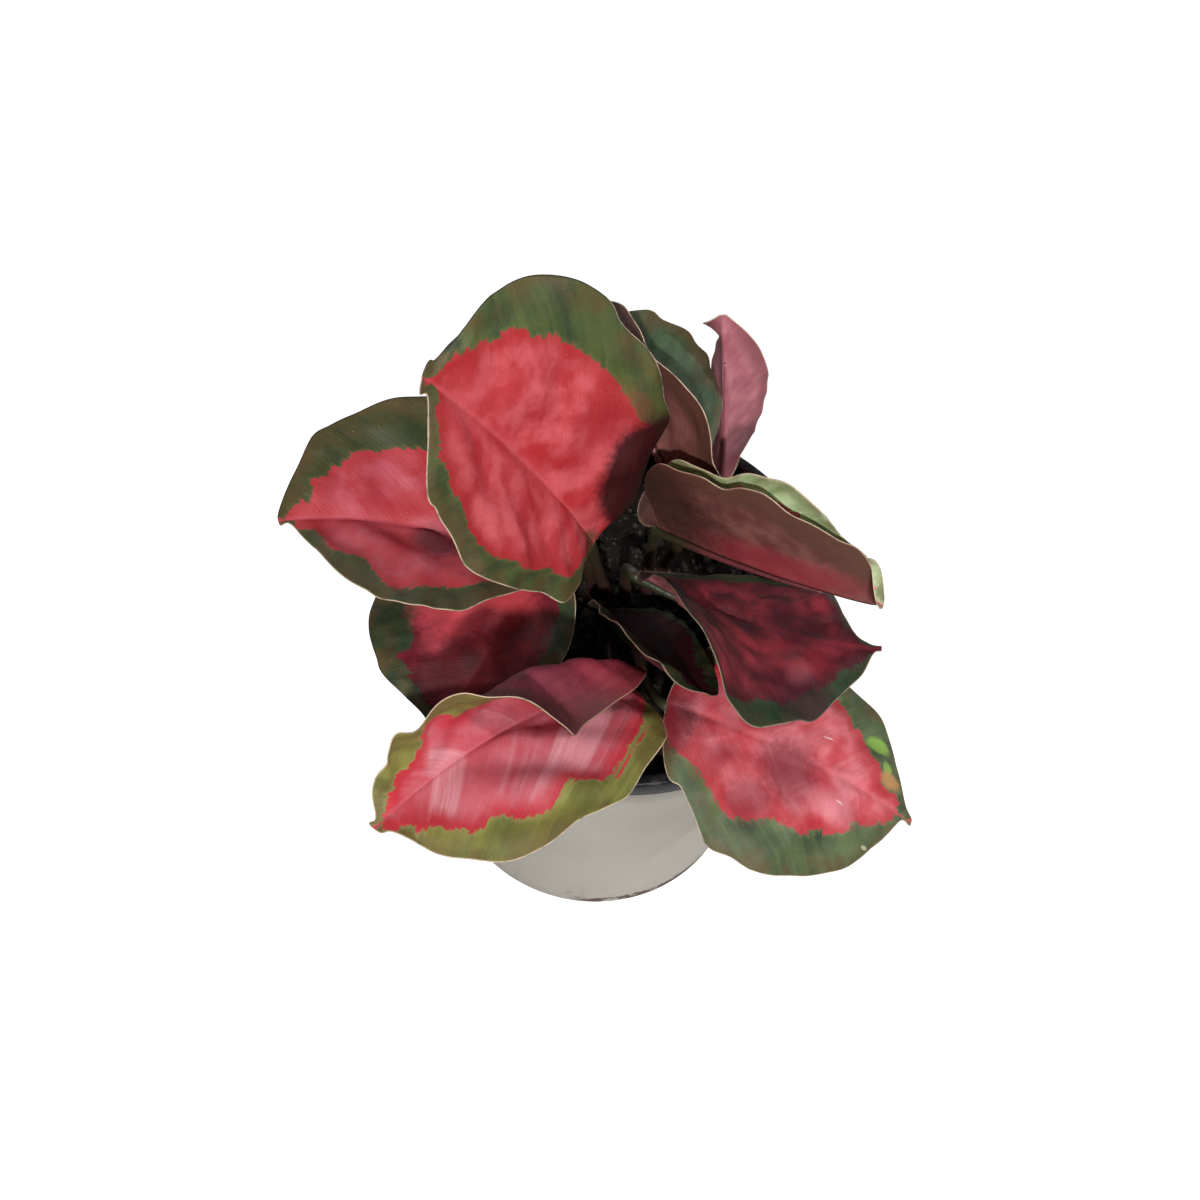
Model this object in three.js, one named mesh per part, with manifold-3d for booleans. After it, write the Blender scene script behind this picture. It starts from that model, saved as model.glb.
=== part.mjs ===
// A potted rosy calathea: ten leaves on their stalks, growing from a crown of soil in a round
// nursery pot. Millimetres, +Z up, origin at the middle of the pot's base. The pot's front is -Y.

import * as THREE from 'three';
import Module from 'manifold-3d';
import { mergeVertices } from 'three/addons/utils/BufferGeometryUtils.js';

const wasm = await Module();
wasm.setup();

// Pot: a thin tapered cup with a turned-down lip and drain holes in its floor.
const POT = {
  height: 100,
  lipRadius: 52.5,
  baseRadius: 39,
  wall: 1.3,
  floor: 1.6,
  footRound: 3,
  lipDrop: 5.5,
  lipGap: 1.2,
  lipWall: 1.2,
  sides: 48,
  drainHoles: 8,
  drainRadius: 3.5,
  drainRing: 29,
  drainSides: 10,
};

// Soil: fills the pot to a little below the lip, with a hummocky top.
const SOIL = {
  level: 88,
  crownRise: 2.5,
  bump: 0.9,
  clearance: 0.35,
  rings: 6,
  sides: 36,
};

// Stalks: round, a little swollen where the blade starts, and sunk into the soil.
const STALK = {
  depth: 12,
  footRadius: 1.8,
  neckRadius: 1.2,
  swelling: 0.35,
  swellingShare: 0.05,
  tipRadius: 0.32,
  midribReach: 0.8,
  sides: 6,
  rings: 15,
  holeClearance: 0.3,
};

// Blades: a waved plate on both sides of the midrib, narrowed to a short drip tip. A half narrower
// than foldWidth, at either end of the blade, lies flatter.
const BLADE = {
  thickness: 0.65,
  endHalfWidth: 0.7,
  foldWidth: 12,
  tipPinch: 0.5,
  tipPinchPower: 14,
  wavesPerLeaf: 2.6,
  waveFade: 1.5,
  rows: 14,
  columns: 3,
  flapColumns: 9,
};

const COLOURS = {
  pot: 0xa8a49e,
  soil: 0x2a211b,
  rosy: 0xb8474f,
  shaded: 0x6e2a33,
  underside: 0xa76d72,
};

// The leaves. base is where the blade starts, foot where the stalk leaves the soil, and elbow a
// point on the stalk between them. Angles are in degrees: heading is the compass direction of the
// midrib (0 is +X, 90 is +Y) and turns by turn towards the tip; rise is its slope and falls by
// droop; roll lifts the left half and grows by twist. Each half has its width, the fold that lifts
// it from the midrib, how much the fold opens by the tip (unfold), its curl towards the margin,
// and the height and start of its margin's waves. Left is as seen from above, looking at the tip.
const LEAVES = {
  leaf_top: {
    colour: 'rosy', foot: [-3, 3], elbow: [-6, 0, 107], base: [-8.5, -2, 124], length: 82,
    heading: 184, turn: 20, rise: 63, droop: 8, roll: -24, twist: -8,
    baseRoundness: 0.53, tipSharpness: 0.4,
    left: { width: 34, fold: 21, unfold: -18, curl: -14, wave: 0.6, phase: -0.1 },
    right: { width: 37, fold: 32, unfold: -14, curl: -9, wave: -1.5, phase: 0 },
  },
  leaf_left: {
    colour: 'rosy', foot: [-7, 5], elbow: [-12, 2, 109], base: [-21, -2, 107], length: 65,
    heading: 166, turn: 39, rise: 15, droop: 5, roll: 8, twist: -8,
    baseRoundness: 0.55, tipSharpness: 0.63,
    left: { width: 32, fold: 23, unfold: -8, curl: -10, wave: 0.7, phase: -0.1 },
    right: { width: 33, fold: 24, unfold: 2, curl: -9, wave: 0.4, phase: 0 },
  },
  leaf_left_low: {
    colour: 'shaded', foot: [-12, 8], elbow: [-17, 8, 99], base: [-18, 3, 102.5], length: 56,
    heading: 248, turn: 3, rise: 6, droop: 0, roll: 8, twist: -10,
    baseRoundness: 0.53, tipSharpness: 0.5,
    left: { width: 16, fold: 0, unfold: -13, curl: -4, wave: 0.8, phase: 0 },
    right: { width: 31, fold: 14, unfold: 0, curl: -7, wave: 0.3, phase: 0.1 },
  },
  leaf_front_left: {
    colour: 'rosy', foot: [-1, -10], elbow: [2, -23, 99], base: [6, -32, 111], length: 86,
    heading: 221, turn: 17, rise: 40, droop: 38, roll: 19, twist: -13,
    baseRoundness: 0.56, tipSharpness: 0.5,
    left: { width: 30, fold: 6, unfold: -17, curl: -21, wave: -1.4, phase: 0.2 },
    right: {
      width: 28, fold: 62, unfold: 7, curl: 20, wave: 1.1, phase: 0.65,
      flap: { angle: 150, from: 0.29, bend: 0.25, at: 0.32, reach: 0.57, width: 1.5 },
    },
  },
  leaf_front_right: {
    colour: 'rosy', foot: [6, -9], elbow: [9, -25, 102], base: [14, -36, 114], length: 73,
    heading: -5, turn: 2, rise: -9, droop: 35, roll: 3, twist: 5,
    baseRoundness: 0.55, tipSharpness: 0.72,
    left: { width: 30, fold: 4, unfold: -6, curl: -24, wave: 1.1, phase: 0.1 },
    right: { width: 31, fold: 2, unfold: -10, curl: -25, wave: 1, phase: 0 },
  },
  leaf_right_low: {
    colour: 'shaded', foot: [1, 4], elbow: [0, 1, 110], base: [3, -5, 119], length: 62,
    heading: -13, turn: 16, rise: -21, droop: -26, roll: -17, twist: 17,
    baseRoundness: 0.53, tipSharpness: 0.9,
    left: { width: 22, fold: 0, unfold: -12, curl: -31, wave: 0.6, phase: 0.2, baseRoundness: 1.3 },
    right: { width: 37, fold: 22, unfold: -70, curl: -12, wave: -1.8, phase: 0 },
  },
  leaf_inner: {
    colour: 'shaded', foot: [-4, -2], elbow: [-3.7, -2, 91], base: [-3, -2, 95], length: 58,
    heading: -66, turn: 23, rise: 34, droop: -3, roll: -15, twist: 2,
    baseRoundness: 0.5, tipSharpness: 0.66,
    left: { width: 12, fold: 40, unfold: 4, curl: -25, wave: 0.1, phase: 0 },
    right: { width: 14, fold: 56, unfold: -1, curl: -22, wave: 1, phase: -0.3 },
  },
  leaf_right: {
    colour: 'underside', foot: [6, 8], elbow: [5.5, 9, 107], base: [5.5, 7, 122], length: 64,
    heading: -45, turn: 38, rise: 34, droop: 30, roll: -8, twist: -13,
    baseRoundness: 0.49, tipSharpness: 0.52,
    left: { width: 29, fold: 87, unfold: -6, curl: 15, wave: -1.9, phase: 0.15 },
    right: { width: 29, fold: 77, unfold: 1, curl: -4, wave: -0.8, phase: 0.3 },
  },
  leaf_back: {
    colour: 'shaded', foot: [9, 14], elbow: [13, 12, 114], base: [11, 9, 129], length: 55,
    heading: 144, turn: -31, rise: 47, droop: 46, roll: 49, twist: -10,
    baseRoundness: 0.52, tipSharpness: 0.66,
    left: { width: 26, fold: 59, unfold: 0, curl: -21, wave: -1.1, phase: -0.3 },
    right: { width: 24, fold: 52, unfold: 13, curl: -29, wave: 0.4, phase: 0.35 },
  },
  leaf_upright: {
    colour: 'underside', foot: [17, 30], elbow: [17.6, 32, 94], base: [18.3, 34.5, 99], length: 61,
    heading: -52, turn: -6, rise: 90, droop: -22, roll: 2, twist: -13,
    baseRoundness: 0.49, tipSharpness: 0.68,
    left: { width: 18, fold: 32, unfold: -10, curl: -23, wave: 0.2, phase: 0.1 },
    right: { width: 17, fold: 119, unfold: 3, curl: -23, wave: -0.3, phase: 0 },
  },
};

const radians = THREE.MathUtils.degToRad;
const clamp01 = (x) => THREE.MathUtils.clamp(x, 0, 1);
const smoothBump = (x) => clamp01(x) ** 2 * (3 - 2 * clamp01(x));

// A closed geometry as a solid: only positions, shared corners merged, collapsed faces dropped.
function toSolid(geometry) {
  const bare = geometry.clone();
  bare.deleteAttribute('normal');
  bare.deleteAttribute('uv');
  const merged = mergeVertices(bare);
  const corners = merged.getIndex().array;
  const faces = [];
  for (let i = 0; i < corners.length; i += 3) {
    const [a, b, c] = corners.slice(i, i + 3);
    if (a !== b && b !== c && c !== a) faces.push(a, b, c);
  }
  return new wasm.Manifold(new wasm.Mesh({
    numProp: 3,
    vertProperties: new Float32Array(merged.getAttribute('position').array),
    triVerts: new Uint32Array(faces),
  }));
}

function toGeometry(solid) {
  const { vertProperties, triVerts } = solid.getMesh();
  const geometry = new THREE.BufferGeometry();
  geometry.setAttribute('position', new THREE.BufferAttribute(vertProperties, 3));
  geometry.setIndex(new THREE.BufferAttribute(triVerts, 1));
  geometry.computeVertexNormals();
  return geometry;
}

function makeMesh(name, solid, colour, roughness) {
  const material = new THREE.MeshStandardMaterial({ color: colour, roughness, metalness: 0 });
  const mesh = new THREE.Mesh(toGeometry(solid), material);
  mesh.name = name;
  return mesh;
}

// A profile of [radius, height] pairs turned about the Z axis.
function turned(profile, sides) {
  const points = profile.map(([radius, height]) => new THREE.Vector2(radius, height));
  return new THREE.LatheGeometry(points, sides).rotateX(Math.PI / 2);
}

// The pot's wall leans evenly from its base to the neck under the lip.
const neckRadius = POT.lipRadius - POT.lipWall - POT.lipGap;

function wallRadius(height) {
  return THREE.MathUtils.lerp(POT.baseRadius, neckRadius, height / (POT.height - POT.lipDrop));
}

function buildPot() {
  const { height, floor, wall, footRound, lipRadius, lipWall, lipDrop } = POT;
  const profile = [[0, 0]];
  for (const angle of [0, 30, 60, 90]) {
    profile.push([
      wallRadius(footRound) - footRound * (1 - Math.sin(radians(angle))),
      footRound * (1 - Math.cos(radians(angle))),
    ]);
  }
  const underLip = height - lipWall;
  profile.push(
    [wallRadius(height / 2), height / 2],
    [wallRadius(underLip), underLip],
    [lipRadius - lipWall, underLip],
    [lipRadius - lipWall, height - lipDrop],
    [lipRadius, height - lipDrop],
    [lipRadius, height - lipWall / 2],
    [lipRadius - lipWall / 2, height],
    [wallRadius(underLip) - wall / 2, height],
    [wallRadius(underLip) - wall, underLip],
    [wallRadius(height / 2) - wall, height / 2],
    [wallRadius(footRound) - wall, footRound + floor],
    [wallRadius(0) - footRound, floor],
    [0, floor],
  );
  let pot = toSolid(turned(profile, POT.sides));
  for (let i = 0; i < POT.drainHoles; i += 1) {
    const angle = (2 * Math.PI * (i + 0.5)) / POT.drainHoles;
    const drill = new THREE.CylinderGeometry(POT.drainRadius, POT.drainRadius, 4 * floor, POT.drainSides);
    drill.rotateX(Math.PI / 2);
    drill.translate(POT.drainRing * Math.cos(angle), POT.drainRing * Math.sin(angle), 0);
    pot = pot.subtract(toSolid(drill));
  }
  return makeMesh('pot', pot, COLOURS.pot, 0.45);
}

// Height of the soil's hummocks over its level, smooth and without a seam.
function soilHeight(x, y) {
  const fromCrown = Math.hypot(x, y) / neckRadius;
  const hummocks = Math.sin(0.31 * x + 1.1) * Math.cos(0.27 * y - 0.4) + 0.6 * Math.sin(0.52 * y + 0.44 * x);
  return SOIL.level + SOIL.crownRise * (1 - fromCrown ** 2) + SOIL.bump * hummocks;
}

function buildSoil(stalkHoles) {
  const { clearance, level, rings, sides } = SOIL;
  const edge = wallRadius(level) - POT.wall - clearance;
  const foot = wallRadius(POT.footRound) - POT.wall - clearance;
  const bottom = POT.floor + clearance;
  const profile = [[0, bottom], [wallRadius(0) - POT.footRound - clearance, bottom], [foot, POT.footRound + bottom]];
  for (let i = 0; i <= rings; i += 1) profile.push([edge * (1 - i / rings), level]);
  const geometry = turned(profile, sides);
  const position = geometry.getAttribute('position');
  for (let i = 0; i < position.count; i += 1) {
    const radius = Math.hypot(position.getX(i), position.getY(i));
    const onTop = position.getZ(i) > level - 1 && radius < edge - 1;
    if (onTop) position.setZ(i, soilHeight(position.getX(i), position.getY(i)));
  }
  let soil = toSolid(geometry);
  for (const hole of stalkHoles) soil = soil.subtract(hole);
  return makeMesh('soil', soil, COLOURS.soil, 0.95);
}

// The blade's midrib and the frame that travels along it. Rows lie closer together at both ends.
function midribFrames(leaf) {
  const frames = [];
  const point = new THREE.Vector3(...leaf.base);
  let before = null;
  for (let i = 0; i <= BLADE.rows; i += 1) {
    const along = (1 - Math.cos((Math.PI * i) / BLADE.rows)) / 2;
    const heading = radians(leaf.heading + leaf.turn * along);
    const rise = radians(leaf.rise - leaf.droop * along);
    const roll = radians(leaf.roll + leaf.twist * along);
    const ahead = new THREE.Vector3(
      Math.cos(heading) * Math.cos(rise),
      Math.sin(heading) * Math.cos(rise),
      Math.sin(rise),
    );
    const level = new THREE.Vector3(-Math.sin(heading), Math.cos(heading), 0);
    const above = ahead.clone().cross(level);
    const left = level.clone().multiplyScalar(Math.cos(roll)).addScaledVector(above, Math.sin(roll));
    const up = above.multiplyScalar(Math.cos(roll)).addScaledVector(level, -Math.sin(roll));
    if (before) {
      const step = (leaf.length * (along - before.along)) / 2;
      point.addScaledVector(before.ahead, step).addScaledVector(ahead, step);
    }
    before = { along, ahead, left, up, point: point.clone() };
    frames.push(before);
  }
  return frames;
}

// Share of a half's full width along the leaf, from the base at 0 to the drip tip at 1.
function outline(leaf, half, along) {
  const p = half.baseRoundness ?? leaf.baseRoundness;
  const q = leaf.tipSharpness;
  const widest = p / (p + q);
  const body = along ** p * (1 - along) ** q / (widest ** p * (1 - widest) ** q);
  return body * (1 - BLADE.tipPinch * along ** BLADE.tipPinchPower);
}

// Points of one half across the blade, from the midrib to the margin, at one frame.
function halfRow(leaf, half, frame, sign, columns) {
  const share = outline(leaf, half, frame.along);
  const flap = half.flap;
  const flapShare = flap ? smoothBump(1 - Math.abs((frame.along - flap.at) / flap.reach)) : 0;
  const width = BLADE.endHalfWidth + (half.width - BLADE.endHalfWidth) * share
    + (flap ? flap.width * flapShare : 0);
  const wave = half.wave * Math.sin(2 * Math.PI * (BLADE.wavesPerLeaf * frame.along + half.phase))
    * Math.min(1, share * BLADE.waveFade);
  const point = frame.point.clone();
  const row = [];
  for (let k = 1; k <= columns; k += 1) {
    const across = k / columns;
    const middle = (k - 0.5) / columns;
    let lift = half.fold + half.unfold * (frame.along - 0.5) + half.curl * middle;
    lift *= Math.min(1, width / BLADE.foldWidth);
    if (flap) lift += flap.angle * flapShare * clamp01((middle - flap.from) / flap.bend);
    const step = width / columns;
    point.addScaledVector(frame.left, sign * step * Math.cos(radians(lift)));
    point.addScaledVector(frame.up, step * Math.sin(radians(lift)));
    row.push(point.clone().addScaledVector(frame.up, wave * across ** 2));
  }
  return row;
}

// The middle surface of a blade: rows of points from the left margin to the right one.
function bladeRows(leaf, frames) {
  const columnsOf = (half) => (half.flap ? BLADE.flapColumns : BLADE.columns);
  return frames.map((frame) => [
    ...halfRow(leaf, leaf.left, frame, 1, columnsOf(leaf.left)).reverse(),
    frame.point.clone(),
    ...halfRow(leaf, leaf.right, frame, -1, columnsOf(leaf.right)),
  ]);
}

// The blade as a thin closed plate, its two faces split into triangles alike.
function bladeSolid(rows) {
  const across = rows[0].length;
  const upper = [];
  const lower = [];
  rows.forEach((row, i) => row.forEach((point, j) => {
    const ahead = rows[Math.min(i + 1, rows.length - 1)][j].clone().sub(rows[Math.max(i - 1, 0)][j]);
    const side = row[Math.max(j - 1, 0)].clone().sub(row[Math.min(j + 1, across - 1)]);
    const normal = ahead.cross(side).normalize().multiplyScalar(BLADE.thickness / 2);
    upper.push(...point.clone().add(normal).toArray());
    lower.push(...point.clone().sub(normal).toArray());
  }));
  const geometry = new THREE.BufferGeometry();
  geometry.setAttribute('position', new THREE.Float32BufferAttribute([...upper, ...lower], 3));
  const count = rows.length * across;
  const at = (i, j, face) => i * across + j + face * count;
  const faces = [];
  for (let i = 0; i < rows.length - 1; i += 1) {
    for (let j = 0; j < across - 1; j += 1) {
      faces.push(at(i, j, 0), at(i, j + 1, 0), at(i + 1, j, 0));
      faces.push(at(i, j + 1, 0), at(i + 1, j + 1, 0), at(i + 1, j, 0));
      faces.push(at(i, j, 1), at(i + 1, j, 1), at(i, j + 1, 1));
      faces.push(at(i, j + 1, 1), at(i + 1, j, 1), at(i + 1, j + 1, 1));
    }
  }
  const rim = [];
  for (let j = 0; j < across; j += 1) rim.push([0, j]);
  for (let i = 1; i < rows.length; i += 1) rim.push([i, across - 1]);
  for (let j = across - 2; j >= 0; j -= 1) rim.push([rows.length - 1, j]);
  for (let i = rows.length - 2; i > 0; i -= 1) rim.push([i, 0]);
  rim.forEach(([i, j], k) => {
    const [nextI, nextJ] = rim[(k + 1) % rim.length];
    faces.push(at(i, j, 0), at(i, j, 1), at(nextI, nextJ, 0));
    faces.push(at(nextI, nextJ, 0), at(i, j, 1), at(nextI, nextJ, 1));
  });
  geometry.setIndex(faces);
  return toSolid(geometry);
}

// A tapered round rod along a curve: a cylinder whose rings are carried along it.
function rodAlong(curve, radiusAt, sides, rings) {
  const rod = new THREE.CylinderGeometry(1, 1, 1, sides, rings);
  const travelling = curve.computeFrenetFrames(rings, false);
  const position = rod.getAttribute('position');
  for (let i = 0; i < position.count; i += 1) {
    const along = position.getY(i) + 0.5;
    const ring = Math.round(along * rings);
    const radius = radiusAt(along);
    const point = curve.getPointAt(along);
    point.addScaledVector(travelling.normals[ring], -position.getX(i) * radius);
    point.addScaledVector(travelling.binormals[ring], position.getZ(i) * radius);
    position.setXYZ(i, ...point.toArray());
  }
  return toSolid(rod);
}

// Stalk and midrib as one curve: up out of the soil, over the elbow and along under the blade.
function stalkCurve(leaf, frames) {
  const [footX, footY] = leaf.foot;
  const surface = soilHeight(footX, footY);
  const points = [
    new THREE.Vector3(footX, footY, surface - STALK.depth),
    new THREE.Vector3(footX, footY, surface),
    new THREE.Vector3(...leaf.elbow),
  ];
  for (const frame of frames) {
    if (frame.along > STALK.midribReach) break;
    points.push(frame.point.clone().addScaledVector(frame.up, -BLADE.thickness / 2));
  }
  return new THREE.CatmullRomCurve3(points, false, 'centripetal');
}

// The straight lower end of a stalk's hole, a little wider and deeper than the stalk.
function footHole(leaf) {
  const [footX, footY] = leaf.foot;
  const radius = STALK.footRadius + STALK.holeClearance;
  const depth = STALK.depth + STALK.holeClearance;
  const hole = new THREE.CylinderGeometry(radius, radius, depth, 2 * STALK.sides).rotateX(Math.PI / 2);
  hole.translate(footX, footY, soilHeight(footX, footY) - depth / 2);
  return toSolid(hole);
}

function buildLeaf(name, leaf) {
  const frames = midribFrames(leaf);
  const curve = stalkCurve(leaf, frames);
  const blade = bladeSolid(bladeRows(leaf, frames));
  const neckAt = 1 - (leaf.length * STALK.midribReach) / curve.getLength();
  const radiusAt = (along) => {
    const stalk = THREE.MathUtils.lerp(STALK.footRadius, STALK.neckRadius, clamp01(along / neckAt));
    const taper = clamp01((along - neckAt) / (1 - neckAt));
    const swelling = STALK.swelling * Math.exp(-(((along - neckAt) / STALK.swellingShare) ** 2));
    return THREE.MathUtils.lerp(stalk, STALK.tipRadius, taper) + swelling;
  };
  const stalk = rodAlong(curve, radiusAt, STALK.sides, STALK.rings);
  const hole = rodAlong(curve, (along) => radiusAt(along) + STALK.holeClearance, STALK.sides, STALK.rings)
    .add(footHole(leaf));
  const mesh = makeMesh(name, blade.add(stalk), COLOURS[leaf.colour], 0.4);
  return { mesh, hole };
}

const calathea = new THREE.Group();
const leaves = Object.entries(LEAVES).map(([name, leaf]) => buildLeaf(name, leaf));
calathea.add(buildPot());
calathea.add(buildSoil(leaves.map((leaf) => leaf.hole)));
for (const leaf of leaves) calathea.add(leaf.mesh);

export default calathea;
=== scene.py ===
import math
from types import SimpleNamespace

import bmesh
import bpy
import numpy as np
from mathutils import Matrix, Vector


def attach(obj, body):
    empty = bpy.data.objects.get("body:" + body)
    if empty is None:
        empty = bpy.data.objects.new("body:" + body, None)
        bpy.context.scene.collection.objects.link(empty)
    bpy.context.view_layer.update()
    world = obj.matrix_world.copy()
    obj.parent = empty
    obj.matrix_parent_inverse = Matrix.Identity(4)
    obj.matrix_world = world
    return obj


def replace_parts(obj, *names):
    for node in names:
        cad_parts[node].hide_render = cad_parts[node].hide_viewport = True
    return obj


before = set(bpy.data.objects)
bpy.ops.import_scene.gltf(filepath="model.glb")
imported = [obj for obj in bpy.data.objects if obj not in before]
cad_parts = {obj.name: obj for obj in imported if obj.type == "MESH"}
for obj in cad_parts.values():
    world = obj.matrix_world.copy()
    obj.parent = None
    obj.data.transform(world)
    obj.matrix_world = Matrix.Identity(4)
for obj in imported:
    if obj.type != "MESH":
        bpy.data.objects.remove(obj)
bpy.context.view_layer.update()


# The nursery pot: a thin thermoformed cup whose lip is rolled down over the wall. Its outer wall
# below the lip and its base are coloured grey, and its inside and the lip black. Water drains
# through holes punched in its floor.
MM = 0.001
POT_HEIGHT = 100 * MM
LIP_RADIUS = 52.5 * MM
BASE_RADIUS = 39 * MM
POT_WALL = 1.3 * MM
POT_FLOOR = 1.6 * MM
FOOT_ROUND = 3 * MM
LIP_DROP = 5.5 * MM
LIP_GAP = 1.2 * MM
LIP_WALL = 1.2 * MM
LIP_BEND = 1.1 * MM
NECK_RADIUS = LIP_RADIUS - LIP_WALL - LIP_GAP
POT_STEPS = 192
MERGE_DISTANCE = 1e-6
DRAIN_HOLES = 8
DRAIN_RADIUS = 3.5 * MM
DRAIN_RING = 29 * MM
DRAIN_SIDES = 32


def srgb(red, green, blue):
    """A colour as an eye reads it, 0 to 255, in the linear values that a shader works in."""
    return tuple(((v / 255 + 0.055) / 1.055) ** 2.4 if v > 10 else v / 255 / 12.92
                 for v in (red, green, blue)) + (1.0,)


def add_node(tree, kind, inputs=(), **settings):
    """A shader node with its settings, and its inputs linked or filled in."""
    made = tree.nodes.new("ShaderNode" + kind)
    for name, value in settings.items():
        setattr(made, name, value)
    for key, value in dict(inputs).items():
        if isinstance(value, bpy.types.NodeSocket):
            tree.links.new(value, made.inputs[key])
        else:
            made.inputs[key].default_value = value
    return made


def calc(tree, operation, *values):
    """One arithmetic step of a shader."""
    return add_node(tree, "Math", enumerate(values), operation=operation).outputs[0]


def times(tree, first, *others):
    """The product of two or more values."""
    for other in others:
        first = calc(tree, "MULTIPLY", first, other)
    return first


def ramp(tree, value, start, end, low=0.0, high=1.0):
    """A value eased from low to high while the input goes from start to end."""
    inputs = {"Value": value, "From Min": start, "From Max": end, "To Min": low, "To Max": high}
    return add_node(tree, "MapRange", inputs, interpolation_type="SMOOTHSTEP").outputs[0]


def blend(tree, share, first, second):
    """Two colours mixed by a share of 0 to 1; three plain numbers are a colour as an eye reads it."""
    first, second = (srgb(*colour) if isinstance(colour, tuple) else colour for colour in (first, second))
    return add_node(tree, "Mix", {0: share, 6: first, 7: second}, data_type="RGBA").outputs[2]


def noise(tree, place, scale, detail=2.0, roughness=0.5):
    """Soft noise of 0 to 1 at a place."""
    inputs = {"Vector": place, "Scale": scale, "Detail": detail, "Roughness": roughness}
    return add_node(tree, "TexNoise", inputs).outputs[0]


def object_place(tree):
    """The place on the object that a pattern is read at."""
    return add_node(tree, "TexCoord").outputs["Object"]


def drawn_out(tree, place, share):
    """A place whose pattern is drawn out upwards, by squeezing its height to a share."""
    return add_node(tree, "Mapping", {0: place, 3: (1, 1, share)}).outputs[0]


def new_finish(name, **constants):
    """A material with its shader's constants set; returns it with its tree and shader."""
    finish = bpy.data.materials.new(name)
    finish.use_nodes = True
    tree = finish.node_tree
    shader = tree.nodes["Principled BSDF"]
    for key, value in constants.items():
        shader.inputs[key.replace("_", " ")].default_value = value
    return finish, tree, shader


def give_colour(tree, shader, colour, roughness=None):
    """Links a finish's colour, and its roughness where that changes over the surface."""
    tree.links.new(colour, shader.inputs["Base Color"])
    if roughness is not None:
        tree.links.new(roughness, shader.inputs["Roughness"])


def give_relief(tree, shader, height, distance, strength=1.0):
    """Fine relief of a finish, as a bump of a real depth in metres."""
    inputs = {"Height": height, "Distance": distance, "Strength": strength}
    tree.links.new(add_node(tree, "Bump", inputs).outputs[0], shader.inputs["Normal"])


def new_piece(name, mesh, slot, *finishes):
    """An object at the origin from a bmesh, riding on the plant's one body."""
    bmesh.ops.recalc_face_normals(mesh, faces=mesh.faces[:])
    for face in mesh.faces:
        face.smooth = True
    data = bpy.data.meshes.new(name)
    mesh.to_mesh(data)
    mesh.free()
    for finish in finishes:
        data.materials.append(finish)
    piece = bpy.data.objects.new(name, data)
    bpy.context.collection.objects.link(piece)
    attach(piece, "root")
    return piece


def wall_radius(height):
    """Outer radius of the pot's wall, which leans evenly from its base to the neck under the lip."""
    return BASE_RADIUS + (NECK_RADIUS - BASE_RADIUS) * height / (POT_HEIGHT - LIP_DROP)


def turned(profile, steps):
    """A bmesh turned about Z from a profile of (radius, height) points."""
    made = bmesh.new()
    points = [made.verts.new((radius, 0, height)) for radius, height in profile]
    edges = [made.edges.new(pair) for pair in zip(points, points[1:])]
    bmesh.ops.spin(made, geom=points + edges, cent=(0, 0, 0), axis=(0, 0, 1),
                   angle=2 * math.pi, steps=steps, use_merge=True)
    bmesh.ops.remove_doubles(made, verts=made.verts[:], dist=MERGE_DISTANCE)
    return made


def arc(centre, radius, first, last, count=6):
    """Points on an arc in a profile, its angles in degrees from the outward direction."""
    turns = [math.radians(first + (last - first) * i / count) for i in range(count + 1)]
    return [(centre[0] + radius * math.cos(turn), centre[1] + radius * math.sin(turn)) for turn in turns]


under_lip = POT_HEIGHT - LIP_WALL
lip_low = POT_HEIGHT - LIP_DROP
lip_high = POT_HEIGHT - LIP_BEND
lip_inside = LIP_RADIUS - LIP_WALL
inner_neck = wall_radius(under_lip) - POT_WALL
foot_centre = (wall_radius(FOOT_ROUND) - FOOT_ROUND, FOOT_ROUND)
pot_profile = [(0, 0), (foot_centre[0] * 0.5, 0)] + arc(foot_centre, FOOT_ROUND, -90, 0)
pot_profile += [(wall_radius(POT_HEIGHT * share), POT_HEIGHT * share) for share in (0.2, 0.4, 0.6, 0.8)]
pot_profile += [(wall_radius(under_lip), under_lip), (lip_inside, under_lip), (lip_inside, lip_low)]
pot_profile += arc((LIP_RADIUS - LIP_WALL / 2, lip_low + LIP_WALL / 2), LIP_WALL / 2, -150, -10, 4)
pot_profile += arc((LIP_RADIUS - LIP_BEND, lip_high), LIP_BEND, 0, 90)
pot_profile += arc((inner_neck + LIP_BEND, lip_high), LIP_BEND, 90, 180)
pot_profile += [(wall_radius(POT_HEIGHT * share) - POT_WALL, POT_HEIGHT * share) for share in (0.8, 0.5, 0.2)]
pot_profile += [(wall_radius(FOOT_ROUND) - POT_WALL, FOOT_ROUND + POT_FLOOR),
                (BASE_RADIUS - FOOT_ROUND, POT_FLOOR), (DRAIN_RING / 2, POT_FLOOR), (0, POT_FLOOR)]

grey_plastic, tree, shader = new_finish("grey pot plastic")
place = object_place(tree)
across, _, height = add_node(tree, "SeparateXYZ", {0: place}).outputs
cloudy = noise(tree, place, 26, 3)
scuffs = ramp(tree, noise(tree, drawn_out(tree, place, 0.12), 900, 3), 0.62, 0.72)
grime = times(tree, ramp(tree, noise(tree, place, 240, 4, 0.7), 0.55, 0.7), ramp(tree, height, 0.016, 0.001))
specks = ramp(tree, noise(tree, place, 1100, 1), 0.76, 0.79)
ragged_height = calc(tree, "MULTIPLY_ADD", noise(tree, place, 500, 3), 0.005, height)
foot_line = times(tree, ramp(tree, ragged_height, 0.0086, 0.0076),
                  ramp(tree, noise(tree, place, 90, 4, 0.7), 0.42, 0.48),
                  ramp(tree, across, -0.002, 0.006, 0.1, 1))
colour = blend(tree, ramp(tree, cloudy, 0.3, 0.7), (175, 170, 159), (187, 181, 170))
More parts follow.
